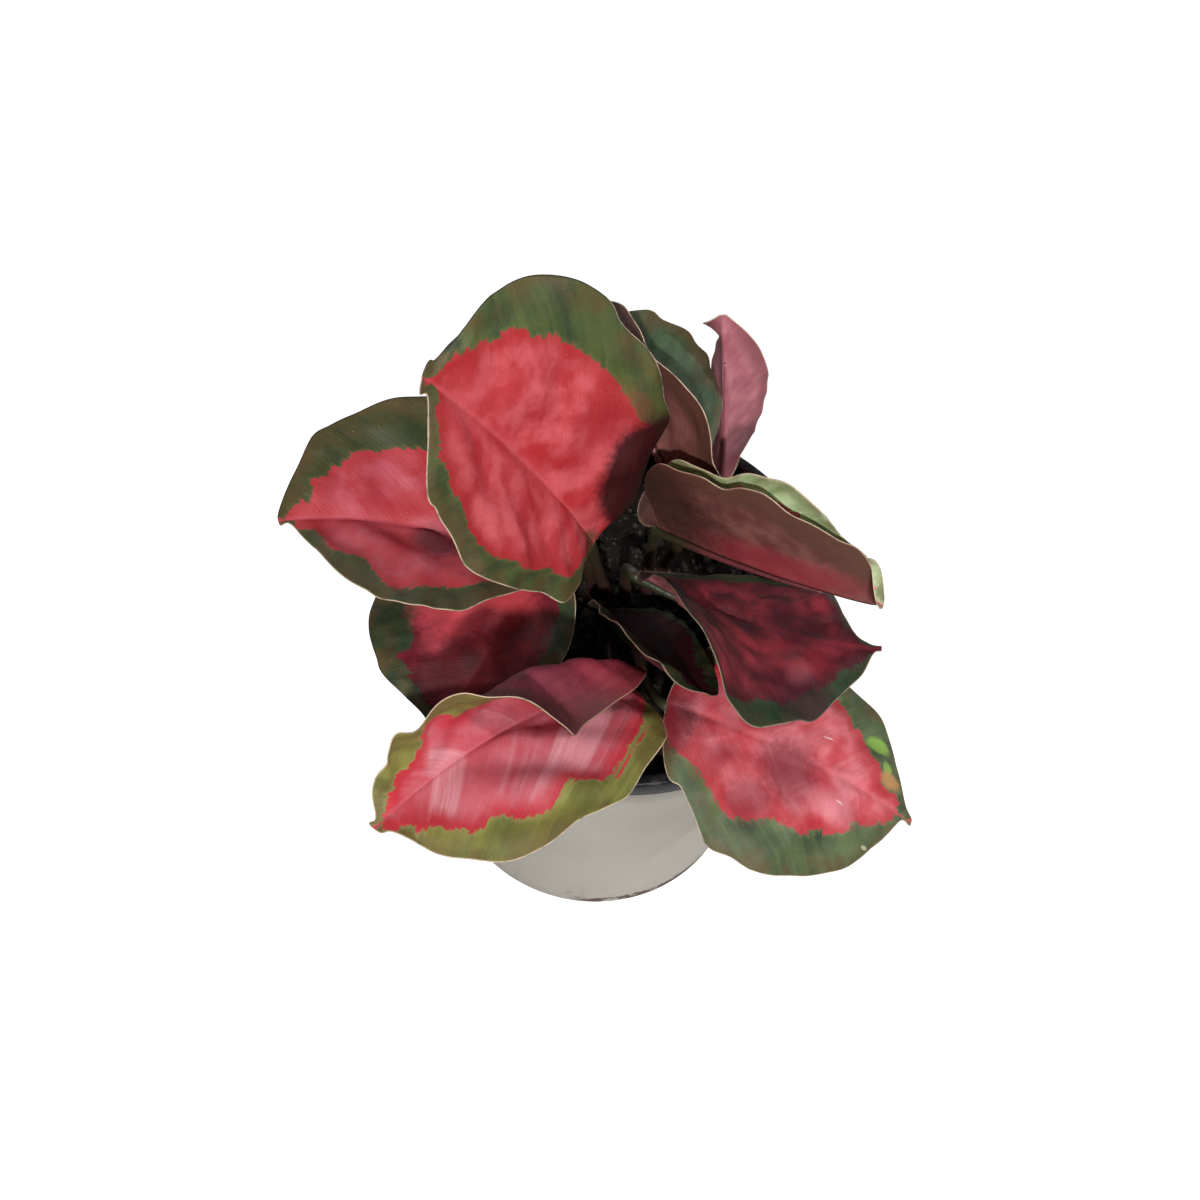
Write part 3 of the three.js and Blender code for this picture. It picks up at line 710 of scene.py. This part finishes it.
def grow_leaf(name, node, leaf, slot, **paint):
    """One leaf: a blade with two faces and a rim, and its stalk, as the piece for a CAD node. Its sizes
    are in millimetres and its angles in degrees, and a pair of angles is the one at the base and the
    change up to the tip."""
    surface, grain, zone = grow_blade(leaf)
    normal = np.cross(np.gradient(surface, axis=0), -np.gradient(surface, axis=1))
    normal /= np.linalg.norm(normal, axis=2, keepdims=True)
    surface = surface + normal * quilting(leaf, grain, zone)[..., None]
    rows, columns = surface.shape[0] - 1, surface.shape[1] - 1
    thickness = np.interp(zone[..., 1], [0, MARGIN_TAPER], [MARGIN_THICKNESS, BLADE_THICKNESS])[..., None]
    made = bmesh.new()
    grain_layer = made.verts.layers.float_vector.new("grain")
    zone_layer = made.verts.layers.float_vector.new("zones")
    grow_stalk(made, leaf, zone_layer)
    sheet = bmesh.ops.create_grid(made, x_segments=columns, y_segments=rows, size=1)["verts"]
    front = {}
    for vert in sheet:
        front[vert] = (round((vert.co.y + 1) / 2 * rows), round((vert.co.x + 1) / 2 * columns))
    sheet_edges = {edge for vert in sheet for edge in vert.link_edges}
    sheet_faces = {face for vert in sheet for face in vert.link_faces}
    for face in sheet_faces:
        face.material_index = FACE_SLOT
    back = bmesh.ops.duplicate(made, geom=sheet + list(sheet_edges) + list(sheet_faces))
    twins = back["vert_map"]
    back_faces = [item for item in back["geom"] if isinstance(item, bmesh.types.BMFace)]
    bmesh.ops.reverse_faces(made, faces=back_faces)
    for face in back_faces:
        face.material_index = UNDERSIDE_SLOT
    for vert, (i, j) in front.items():
        twin = twins[vert]
        offset = normal[i, j] * thickness[i, j] / 2
        vert.co = Vector(surface[i, j] + offset)
        twin.co = Vector(surface[i, j] - offset)
        vert[grain_layer] = twin[grain_layer] = Vector(grain[i, j])
        vert[zone_layer] = twin[zone_layer] = Vector(zone[i, j])
    rims = [edge for edge in made.edges if edge.is_boundary]
    for face in bmesh.ops.bridge_loops(made, edges=rims)["faces"]:
        face.material_index = FACE_SLOT
    bmesh.ops.scale(made, vec=(MM, MM, MM), verts=made.verts[:])
    finishes = paint_leaf(name.replace("_", " "), **paint)
    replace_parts(new_piece(name, made, slot, *finishes), node)


leaf_top = dict(
    seed=11, foot=(-3, 3), elbow=(-6, 0, 107), base=(-8.5, -2, 124), length=82,
    heading=(184, 20), rise=(63, -8), roll=(-24, -8), roundness=0.53, sharpness=0.4, billow=0.7,
    swellings=[(0.81, 0.19, 0.8, 4), (0.75, 0.48, 0.7, 5), (0.25, 0.24, 0.9, 4), (0.46, 0.56, 0.8, 7),
               (0.66, 0.4, -0.7, 6), (0.34, 0.45, -0.6, 6), (0.66, -0.3, 1, 8), (0.47, -0.7, 0.7, 7),
               (0.43, -0.25, 0.6, 5), (0.54, -0.5, -0.8, 6), (0.82, -0.5, 0.6, 6), (0.3, -0.45, -0.6, 6)],
    left=dict(
        width=34, fold=21, unfold=-18, curl=-14, wave=0.6, phase=-0.1,
        margin=[(0.035, -3.8), (0.08, -1.3), (0.15, 0.4), (0.27, -3), (0.35, -3), (0.5, -2), (0.66, -0.5),
                (0.78, -2.5), (0.86, 0), (0.915, 1.8), (0.955, -9.5)],
        rosy=[(0, 0.35), (0.06, 0.53), (0.17, 0.72), (0.31, 0.77), (0.47, 0.8), (0.66, 0.8), (0.79, 0.72),
              (0.89, 0.5), (0.95, 0.1), (1, 0)]),
    right=dict(
        width=37, fold=32, unfold=-14, curl=-9, wave=-1.5, phase=0,
        margin=[(0.15, 0.8), (0.21, 3), (0.29, 1.2), (0.4, 3), (0.5, 1.4), (0.68, 1.9), (0.8, 2.8),
                (0.91, 3), (0.94, 2.5), (0.97, -6)],
        rosy=[(0, 0.6), (0.17, 0.87), (0.3, 0.77), (0.37, 0.72), (0.52, 0.75), (0.62, 0.7), (0.74, 0.62),
              (0.87, 0.5), (0.93, 0.36), (0.98, 0.07), (1, 0)]))
# Of the patches on its face, the two on the right half are painted shadow cast by the folded leaves to its
# right; the brown one at the base is dried tissue.
grow_leaf("top_leaf", "leaf_top", leaf_top, "rosy_leaf", shift=1.7,
          face=dict(pink=(180, 55, 62), pale_pink=(204, 90, 96), deep_pink=(166, 33, 38), right_pale=0.62),
          stains=(((28, -20), (9, 8), 0.5, 0.6, (148, 36, 42)),
                  ((4, -22), (18.5, 16.5), 0.95, 0.13, (42, 14, 17)),
                  ((3, 2), (3, 4), 0.8, 0.4, (96, 70, 48))))


# The left leaf: spread low to the side under the top leaf, its painted face up and its tip pointed.
# It hangs on a stalk that leaves the crown early and bends outwards.
leaf_left = dict(
    seed=12, foot=(-7, 5), elbow=(-12, 2, 109), base=(-21, -2, 107), length=65,
    heading=(166, 39), rise=(15, -5), roll=(8, -8), roundness=0.55, sharpness=0.63,
    swellings=[(0.84, -0.17, 0.7, 4), (0.68, -0.34, 0.7, 5), (0.77, -0.27, -0.5, 4), (0.57, -0.41, 0.6, 6),
               (0.72, 0.77, 0.8, 5), (0.55, 0.22, 0.7, 5), (0.82, 0.19, 0.7, 4), (0.66, 0.53, -0.6, 5),
               (0.4, 0.45, 0.7, 6)],
    left=dict(
        width=32, fold=23, unfold=-8, curl=-10, wave=0.7, phase=-0.1,
        margin=[(0.13, -2.3), (0.25, -0.3), (0.38, -1.5), (0.5, -1), (0.8, -1), (0.86, -1.5), (0.92, -5.1),
                (0.96, -6.2)],
        rosy=[(0, 0.4), (0.17, 0.63), (0.47, 0.75), (0.65, 0.77), (0.69, 0.62), (0.83, 0.58), (0.87, 0.36),
              (0.93, 0.29), (1, 0.2)]),
    right=dict(
        width=33, fold=24, unfold=2, curl=-9, wave=0.4, phase=0,
        margin=[(0.5, 0.5), (0.66, -0.5), (0.725, -1.4), (0.79, -0.9), (0.85, 0.4), (0.9, -1.3),
                (0.97, -0.7)],
        rosy=[(0, 0.4), (0.3, 0.58), (0.49, 0.6), (0.65, 0.6), (0.77, 0.58), (0.82, 0.42), (0.87, 0.45),
              (0.91, 0.36), (0.98, 0.19), (1, 0.1)]))
# The dark patch on its face is painted shadow cast by the top leaf.
grow_leaf("left_leaf", "leaf_left", leaf_left, "rosy_leaf", shift=4.2,
          face=dict(pink=(192, 66, 76), pale_pink=(204, 95, 108), deep_pink=(186, 50, 54),
                    green=(76, 80, 46), right_pale=0.0),
          stains=(((26, 5), (6.5, 5.5), 0.85, 0.5, (84, 28, 40)),
                  ((50, 9), (5, 3), 0.5, 0.6, (216, 96, 104))))


# The lower left leaf: smaller and in the shade of the one above it. Its face colours are darker, wine red
# copies of the rosy face's, painted shade, and the two lighter patches on it are painted light where it
# is lit. Only one half of its blade lies open; the other tucks under its neighbours.
SHADED_FACE = dict(pink=(132, 38, 48), pale_pink=(166, 62, 72), deep_pink=(84, 22, 34),
                   green=(58, 74, 46), deep_green=(36, 48, 34), vein_green=(72, 84, 58))
leaf_left_low = dict(
    seed=13, foot=(-12, 8), elbow=(-17, 8, 99), base=(-18, 3, 102.5), length=56,
    heading=(248, 3), rise=(6, 0), roll=(8, -10), roundness=0.53, sharpness=0.5,
    swellings=[(0.61, -0.39, 0.8, 5), (0.59, -0.14, 0.6, 4), (0.77, -0.48, 0.7, 5), (0.45, -0.3, -0.7, 5)],
    left=dict(
        width=16, fold=0, unfold=-13, curl=-4, wave=0.8, phase=0,
        margin=[(0.4, 0.5)],
        rosy=[(0, 0.4), (0.5, 0.7), (1, 0.1)]),
    right=dict(
        width=31, fold=14, unfold=0, curl=-7, wave=0.3, phase=0.1,
        margin=[(0.7, 0), (0.87, 1.2), (0.93, 2.4), (0.97, -2.4)],
        rosy=[(0, 0.4), (0.3, 0.6), (0.53, 0.6), (0.58, 0.68), (0.66, 0.65), (0.74, 0.58), (0.85, 0.65),
              (0.88, 0.46), (1, 0.2)]))
grow_leaf("lower_left_leaf", "leaf_left_low", leaf_left_low, "shaded_leaf", shift=6.1,
          face=dict(SHADED_FACE, right_pale=0.0),
          stains=(((15, -5), (8, 7), 0.85, 0.5, (206, 72, 80)), ((26, -14), (9, 8), 0.9, 0.5, (216, 82, 92))))


# The front left leaf: arches over the rim. Near its base the right half has folded back over the
# face, so its mauve underside shows there as a hooked flap with a pale edge.
leaf_front_left = dict(
    seed=14, foot=(-1, -10), elbow=(2, -23, 99), base=(6, -32, 111), length=86,
    heading=(221, 17), rise=(40, -38), roll=(19, -13), roundness=0.56, sharpness=0.5, lean=1.1, bend=0.03,
    left=dict(
        width=30, fold=6, unfold=-17, curl=-21, wave=-1.4, phase=0.2,
        margin=[(0.2, 0.5), (0.3, -0.4), (0.4, 0.4), (0.58, -0.4), (0.75, 0.6), (0.89, 1.3), (0.94, 1.5),
                (0.98, -2.8)],
        rosy=[(0, 0.5), (0.23, 0.75), (0.34, 0.81), (0.45, 0.81), (0.51, 0.69), (0.62, 0.78), (0.69, 0.75),
              (0.75, 0.62), (0.84, 0.62), (0.88, 0.5), (1, 0.5)]),
    right=dict(
        width=28, fold=62, unfold=7, curl=20, wave=1.1, phase=0.65,
        flap=dict(angle=150, starts=0.29, bend=0.25, at=0.32, reach=0.57, width=1.5),
        margin=[(0.33, -0.5), (0.44, 2.2), (0.52, -0.3), (0.61, -2.1), (0.67, -4), (0.72, -1.7),
                (0.76, -2.4), (0.81, -5.5), (0.87, -0.3), (0.94, -4.3), (0.98, -4.4)],
        rosy=[(0, 0.6), (0.5, 0.6), (0.61, 0.38), (0.71, 0.5), (0.79, 0.75), (0.84, 0.42), (0.91, 0.38),
              (0.96, 0.1), (1, 0)]))
grow_leaf("front_left_leaf", "leaf_front_left", leaf_front_left, "rosy_leaf", shift=2.9,
          face=dict(pink=(190, 70, 84), pale_pink=(200, 100, 112), deep_pink=(190, 42, 50),
                    green=(138, 136, 66), deep_green=(98, 104, 52), vein_green=(168, 162, 108),
                    frost=0.8, steps=1.6),
          back=dict(mauve=(100, 40, 54), pale_mauve=(128, 52, 68), purple_brown=(84, 46, 48),
                    margin=(150, 134, 104)),
          back_stains=(((14, -14), (12, 7), 0.6, 0.6, (150, 50, 60)),
                       ((34, -20), (8, 5), 0.4, 0.6, (140, 62, 76))))


# The front right leaf: droops over the rim with both halves bent down. Its tip has dried a little,
# and has small pale nicks and bright yellow-green spots where the green faded.
leaf_front_right = dict(
    seed=15, foot=(6, -9), elbow=(9, -25, 102), base=(14, -36, 114), length=73,
    heading=(-5, 2), rise=(-9, -35), roll=(3, 5), roundness=0.55, sharpness=0.72,
    swellings=[(0.44, -0.12, -1.1, 6), (0.34, -0.53, -1, 4), (0.2, -0.39, 0.8, 5), (0.64, -0.24, 0.9, 5),
               (0.1, -0.31, 0.6, 4), (0.4, -0.6, 0.7, 5), (0.52, -0.4, 0.6, 5), (0.58, 0.27, 0.7, 5),
               (0.78, 0.72, 0.4, 3), (0.72, 0.17, 0.5, 4)],
    left=dict(
        width=30, fold=4, unfold=-6, curl=-24, wave=1.1, phase=0.1,
        margin=[(0.66, -0.9), (0.74, 0.3), (0.81, -0.2), (0.86, -0.5), (0.96, -2.6)],
        rosy=[(0, 0.6), (0.3, 0.7), (0.62, 0.68), (0.7, 0.55), (0.78, 0.33), (0.9, 0.22), (1, 0.2)]),
    right=dict(
        width=31, fold=2, unfold=-10, curl=-25, wave=1, phase=0,
        margin=[(0.07, 1.4), (0.11, -1.7), (0.15, -1.9), (0.26, 0.4), (0.36, -1), (0.45, -0.3), (0.6, -1.7),
                (0.74, -1.4), (0.82, -1.1), (0.9, -4.3), (0.945, -5.8)],
        rosy=[(0, 0.7), (0.12, 0.63), (0.23, 0.7), (0.39, 0.68), (0.43, 0.6), (0.51, 0.63), (0.66, 0.56),
              (0.74, 0.46), (0.85, 0.36), (0.97, 0.05), (1, 0)]))
# The first four patches on its face, the darker pink ones near its base and middle, are painted shade.
grow_leaf("front_right_leaf", "leaf_front_right", leaf_front_right, "rosy_leaf", shift=8.8,
          face=dict(pink=(188, 60, 70), pale_pink=(210, 108, 116), deep_pink=(172, 38, 46),
                    green=(88, 104, 66), deep_green=(44, 60, 40), vein_green=(120, 128, 92), frost=0.25),
          stains=(((33, -4), (8, 7), 0.8, 0.55, (116, 30, 42)),
                  ((25, -15), (6, 5), 0.65, 0.55, (120, 32, 44)),
                  ((14, -9), (6, 5), 0.4, 0.6, (140, 36, 48)), ((2, -4), (6, 9), 0.7, 0.4, (80, 24, 32)),
                  ((48, -8), (7, 3.5), 0.4, 0.5, (216, 140, 148)),
                  ((57, 13), (3.5, 2), 0.8, 0.3, (136, 176, 78)),
                  ((60.5, 8.5), (2, 1.4), 0.8, 0.3, (136, 176, 78)),
                  ((62.5, 6), (3.6, 2), 0.8, 0.4, (190, 140, 88)),
                  ((41, 7), (1.1, 0.2), 0.7, 0.3, (232, 214, 206)),
                  ((48, -6.5), (1.2, 0.2), 0.7, 0.3, (232, 214, 206)),
                  ((61, -12.5), (1.2, 0.5), 0.6, 0.3, (206, 200, 166))))


# The lower right leaf: reaches out under the folded leaf above it and curls down at its sides.
# It lies in the shade of that leaf: its dark wine red face with a thin green band is partly its own
# colour and partly painted shade, its lighter red patches are painted light and its darker ones
# painted shade.
DARK_FACE = dict(pink=(84, 24, 32), pale_pink=(136, 44, 54), deep_pink=(52, 16, 26), green=(38, 58, 38),
                 deep_green=(24, 38, 27), vein_green=(50, 66, 46), margin=(156, 134, 116), browning=0.2,
                 steps=1.5)
leaf_right_low = dict(
    seed=16, foot=(1, 4), elbow=(0, 1, 110), base=(3, -5, 119), length=62,
    heading=(-13, 16), rise=(-21, 26), roll=(-17, 17), roundness=0.53, sharpness=0.9,
    swellings=[(0.64, -0.31, 0.8, 4), (0.69, -0.22, 0.6, 3), (0.44, -0.41, 0.8, 4), (0.57, -0.68, 0.7, 4),
               (0.54, -0.35, -0.7, 4), (0.35, -0.3, 0.7, 5)],
    left=dict(
        width=22, fold=0, unfold=-12, curl=-31, wave=0.6, phase=0.2, roundness=1.3,
        margin=[(0.6, 0), (0.8, 3.5), (0.825, 1), (0.88, -6), (0.95, -3.9)],
        rosy=[(0, 0.6), (0.5, 0.8), (0.8, 0.8), (1, 0.4)]),
    right=dict(
        width=37, fold=22, unfold=-70, curl=-12, wave=-1.8, phase=0,
        margin=[(0.11, 3.4), (0.24, 1.9), (0.33, 4.1), (0.38, 3.4), (0.44, 1.2), (0.5, 1.4), (0.57, 1.3),
                (0.66, -0.3), (0.71, -0.9), (0.76, 0.3), (0.84, -1.7), (0.89, -1.2), (0.94, -0.2),
                (0.97, -1.8)],
        rosy=[(0, 0.8), (0.43, 0.92), (0.54, 0.8), (0.67, 0.8), (0.78, 0.6), (0.91, 0.56), (0.96, 0.41),
              (1, 0.3)]))
grow_leaf("lower_right_leaf", "leaf_right_low", leaf_right_low, "shaded_leaf", shift=9.4, gloss=0.15,
          face=DARK_FACE,
          stains=(((22, -8), (6, 4), 0.6, 0.6, (160, 50, 58)), ((30, -15), (5, 3), 0.6, 0.6, (150, 50, 58)),
                  ((40, -6), (9, 2.5), 0.6, 0.6, (140, 40, 48)), ((42, -12), (3, 4), 0.5, 0.6, (160, 66, 74)),
                  ((27, -2), (6, 4), 0.8, 0.5, (46, 16, 24)), ((40, 3), (9, 4), 0.7, 0.5, (46, 18, 26)),
                  ((9, -8), (12, 11), 0.75, 0.5, (38, 14, 20)), ((44, -19), (9, 6), 0.6, 0.6, (62, 28, 40))))


# The inner leaf: a young blade low over the front of the soil, still half rolled along its midrib.
# Its face is painted deep shade, dark purple in the valley, and its near half shows the mauve brown
# underside, also darkened as painted shade.
leaf_inner = dict(
    seed=17, foot=(-4, -2), elbow=(-3.7, -2, 91), base=(-3, -2, 95), length=58,
    heading=(-66, 23), rise=(34, 3), roll=(-15, 2), roundness=0.5, sharpness=0.66, billow=0.2,
    left=dict(
        width=12, fold=40, unfold=4, curl=-25, wave=0.1, phase=0,
        margin=[(0.2, 0.4), (0.5, -0.1), (0.74, -1)],
        rosy=[(0, 0.5), (0.5, 0.9), (1, 0.3)]),
    right=dict(
        width=14, fold=56, unfold=-1, curl=-22, wave=1, phase=-0.3,
        margin=[(0.29, -1.1), (0.37, 0.9), (0.68, 3.5), (0.77, 4.9), (0.85, 4.8), (0.9, 0.9), (0.95, -1.9)],
        rosy=[(0, 0.5), (0.5, 0.9), (1, 0.3)]))
grow_leaf("inner_leaf", "leaf_inner", leaf_inner, "shaded_leaf", shift=3.3, gloss=0.08,
          face=dict(DARK_FACE, pink=(26, 10, 15), pale_pink=(40, 18, 23), left_pale=0.0),
          back=dict(mauve=(48, 28, 30), pale_mauve=(62, 38, 38), purple_brown=(52, 44, 34),
                    margin=(120, 100, 80)))


# The right leaf: folded upwards along its midrib like a closing book, so the near half turns its
# brown-purple underside out and only a strip of the far half's green face shows over it.
BROWN_BACK = dict(mauve=(102, 60, 55), pale_mauve=(130, 84, 76), purple_brown=(98, 66, 54),
                  margin=(160, 126, 106))
# The strip of the far half's face is given pale, bright colours: painted light shining through the leaf from
# behind.
LIT_THROUGH = dict(green=(212, 228, 178), deep_green=(128, 158, 104), vein_green=(226, 230, 200),
                   pink=(222, 112, 122), pale_pink=(236, 176, 176), deep_pink=(206, 76, 90))
leaf_right = dict(
    seed=18, foot=(6, 8), elbow=(5.5, 9, 107), base=(5.5, 7, 122), length=64,
    heading=(-45, 38), rise=(34, -30), roll=(-8, -13), roundness=0.49, sharpness=0.52, billow=0.2,
    left=dict(
        width=29, fold=87, unfold=-6, curl=15, wave=-1.9, phase=0.15,
        margin=[(0.38, -3.1), (0.5, -1.2), (0.6, -2.1), (0.7, -1.2), (0.77, -1.3), (0.82, -2.1)],
        rosy=[(0, 0.6), (0.56, 0.8), (0.6, 0.77), (0.65, 0.75), (0.8, 0.5), (1, 0.2)]),
    right=dict(
        width=29, fold=77, unfold=1, curl=-4, wave=-0.8, phase=0.3,
        margin=[(0.25, -0.2), (0.34, -0.9), (0.4, -1), (0.46, -3.8), (0.53, -1.7), (0.58, -0.9),
                (0.66, -2.4), (0.72, -1.7), (0.79, -1.3), (0.84, -0.7), (0.89, 1), (0.94, 1)],
        rosy=[(0, 0.6), (0.5, 0.75), (0.8, 0.5), (1, 0.2)]))
# On its underside the red band along the midrib is its own colour; the dark patch near the base is painted
# shade.
grow_leaf("right_leaf", "leaf_right", leaf_right, "leaf_underside", shift=5.6, face=LIT_THROUGH,
          back=BROWN_BACK, back_stains=(((38, -4), (20, 5), 0.75, 0.5, (148, 50, 60)),
                                        ((9, -12), (15, 14), 0.8, 0.6, (54, 36, 33))))


# The back leaf: stands behind the top leaf, folded along its midrib; its far half shows a dark
# green face and its near half the brown underside with a pale margin.
leaf_back = dict(
    seed=19, foot=(9, 14), elbow=(13, 12, 114), base=(12.5, 10.3, 126.9), length=55,
    heading=(144, -31), rise=(47, -46), roll=(49, -10), roundness=0.52, sharpness=0.66, billow=0.4,
    left=dict(
        width=26, fold=59, unfold=0, curl=-21, wave=-1.1, phase=-0.3,
        margin=[(0.26, -0.8), (0.34, 1), (0.41, 0), (0.49, 1), (0.55, -0.3), (0.7, 0)],
        rosy=[(0, 0.5), (0.5, 0.6), (1, 0.2)]),
    right=dict(
        width=24, fold=52, unfold=13, curl=-29, wave=0.4, phase=0.35,
        margin=[(0.1, -0.9), (0.17, -1.6), (0.26, -0.6), (0.34, -1.2), (0.47, -1.2), (0.61, 0),
                (0.69, -0.2), (0.79, 1.1), (0.85, 0.9), (0.93, 3.1), (0.96, 0.9)],
        rosy=[(0, 0.3), (0.5, 0.3), (1, 0.1)]))
# Its face pinks are the darker copies painted as shade, as on the lower left leaf.
grow_leaf("back_leaf", "leaf_back", leaf_back, "shaded_leaf", shift=7.7, back=BROWN_BACK,
          face=dict(SHADED_FACE, green=(68, 88, 60), deep_green=(44, 60, 46), vein_green=(86, 100, 76)))


# The upright leaf: the youngest, still nearly closed and standing straight up at the back right.
# It turns its mauve underside to the front, and its stalk and rib are mauve as well.
MAUVE_BACK = dict(mauve=(160, 88, 100), pale_mauve=(184, 116, 124), purple_brown=(144, 84, 90))
leaf_upright = dict(
    seed=20, foot=(17, 30), elbow=(18.1, 32, 94), base=(19.3, 34.5, 99), length=61,
    heading=(-52, -6), rise=(90, 22), roll=(2, -13), roundness=0.49, sharpness=0.68, billow=0.2,
    left=dict(
        width=18, fold=32, unfold=-10, curl=-23, wave=0.2, phase=0.1,
        margin=[(0.01, 1.9), (0.05, 3.6), (0.21, -0.5), (0.4, -1.9), (0.6, -2.2), (0.73, -2.5),
                (0.85, -2.3), (0.94, -1.2)],
        rosy=[(0, 0.5), (0.5, 0.8), (1, 0.3)]),
    right=dict(
        width=17, fold=119, unfold=3, curl=-23, wave=-0.3, phase=0,
        margin=[(0.4, 1.6), (0.48, 3.8), (0.6, 3.7), (0.65, 2.9), (0.76, 3.4), (0.9, 0.6)],
        rosy=[(0, 0.5), (0.5, 0.8), (1, 0.3)]))
mauve_skin = stalk_finish("mauve stalk skin", (104, 56, 62), (150, 86, 96), (164, 94, 105))
grow_leaf("upright_leaf", "leaf_upright", leaf_upright, "leaf_underside", shift=0.6, back=MAUVE_BACK,
          skin=mauve_skin)


# The studio: a plain pale floor that washes out to white, a clear key light from the front, a weaker
# side light from the right, two soft fills from the right and behind, and a faint surround. A light
# has its turn round the pot, its height, its power and its softness, the angles in degrees.
FLOOR_SIZE = 3.0
FLOOR_TONE = (0.38, 0.38, 0.38, 1)
FLOOR_GLOW = 0.92
LIGHTS = {"key light": (-88, 45, 2.9, 2.5), "side light": (0, 38, 0.8, 2.5),
          "fill light": (-15, 45, 0.55, 50), "back light": (110, 12, 0.7, 50)}
SURROUND = 0.12
BACKDROP = 1.2
WHITE = (1, 1, 1, 1)

white_floor, tree, shader = new_finish("white floor", Roughness=0.9, Base_Color=FLOOR_TONE,
                                       Emission_Color=WHITE)
seen = add_node(tree, "LightPath").outputs["Is Camera Ray"]
tree.links.new(times(tree, seen, FLOOR_GLOW), shader.inputs["Emission Strength"])
floor_mesh = bmesh.new()
bmesh.ops.create_grid(floor_mesh, x_segments=1, y_segments=1, size=FLOOR_SIZE / 2)
floor_data = bpy.data.meshes.new("floor")
floor_mesh.to_mesh(floor_data)
floor_mesh.free()
floor_data.materials.append(white_floor)
floor = bpy.data.objects.new("floor", floor_data)
bpy.context.collection.objects.link(floor)

for name, (turn, height, power, softness) in LIGHTS.items():
    light = bpy.data.objects.new(name, bpy.data.lights.new(name, "SUN"))
    light.data.energy = power
    light.data.angle = math.radians(softness)
    turn, height = math.radians(turn), math.radians(height)
    towards = Vector((math.cos(height) * math.cos(turn), math.cos(height) * math.sin(turn), math.sin(height)))
    light.rotation_euler = towards.to_track_quat("Z", "Y").to_euler()
    bpy.context.collection.objects.link(light)

world = bpy.data.worlds.new("surround")
world.use_nodes = True
tree = world.node_tree
backdrop = tree.nodes["Background"]
backdrop.inputs["Color"].default_value = WHITE
seen = add_node(tree, "LightPath").outputs["Is Camera Ray"]
tree.links.new(calc(tree, "MULTIPLY_ADD", seen, BACKDROP - SURROUND, SURROUND), backdrop.inputs["Strength"])
bpy.context.scene.world = world
bpy.context.scene.view_settings.view_transform = "Standard"


# The camera: looks steeply down on the pot from the front, rolled a little, as the picture was taken.
TARGET = Vector((-5, 0, 95.3)) * MM
DISTANCE = 600 * MM
ELEVATION = math.radians(59)
ROLL = math.radians(9)
LENS = 72.9
SENSOR_WIDTH = 36

lens_right = Vector((1, 0, 0))
lens_up = Vector((0, math.sin(ELEVATION), math.cos(ELEVATION)))
backwards = lens_right.cross(lens_up)
right = lens_right * math.cos(ROLL) + lens_up * math.sin(ROLL)
up = lens_up * math.cos(ROLL) - lens_right * math.sin(ROLL)
facing = Matrix((right, up, backwards)).transposed().to_4x4()
camera = bpy.data.objects.new("camera", bpy.data.cameras.new("camera"))
camera.data.lens = LENS
camera.data.sensor_width = SENSOR_WIDTH
camera.matrix_world = Matrix.Translation(TARGET + backwards * DISTANCE) @ facing
bpy.context.collection.objects.link(camera)
bpy.context.scene.camera = camera
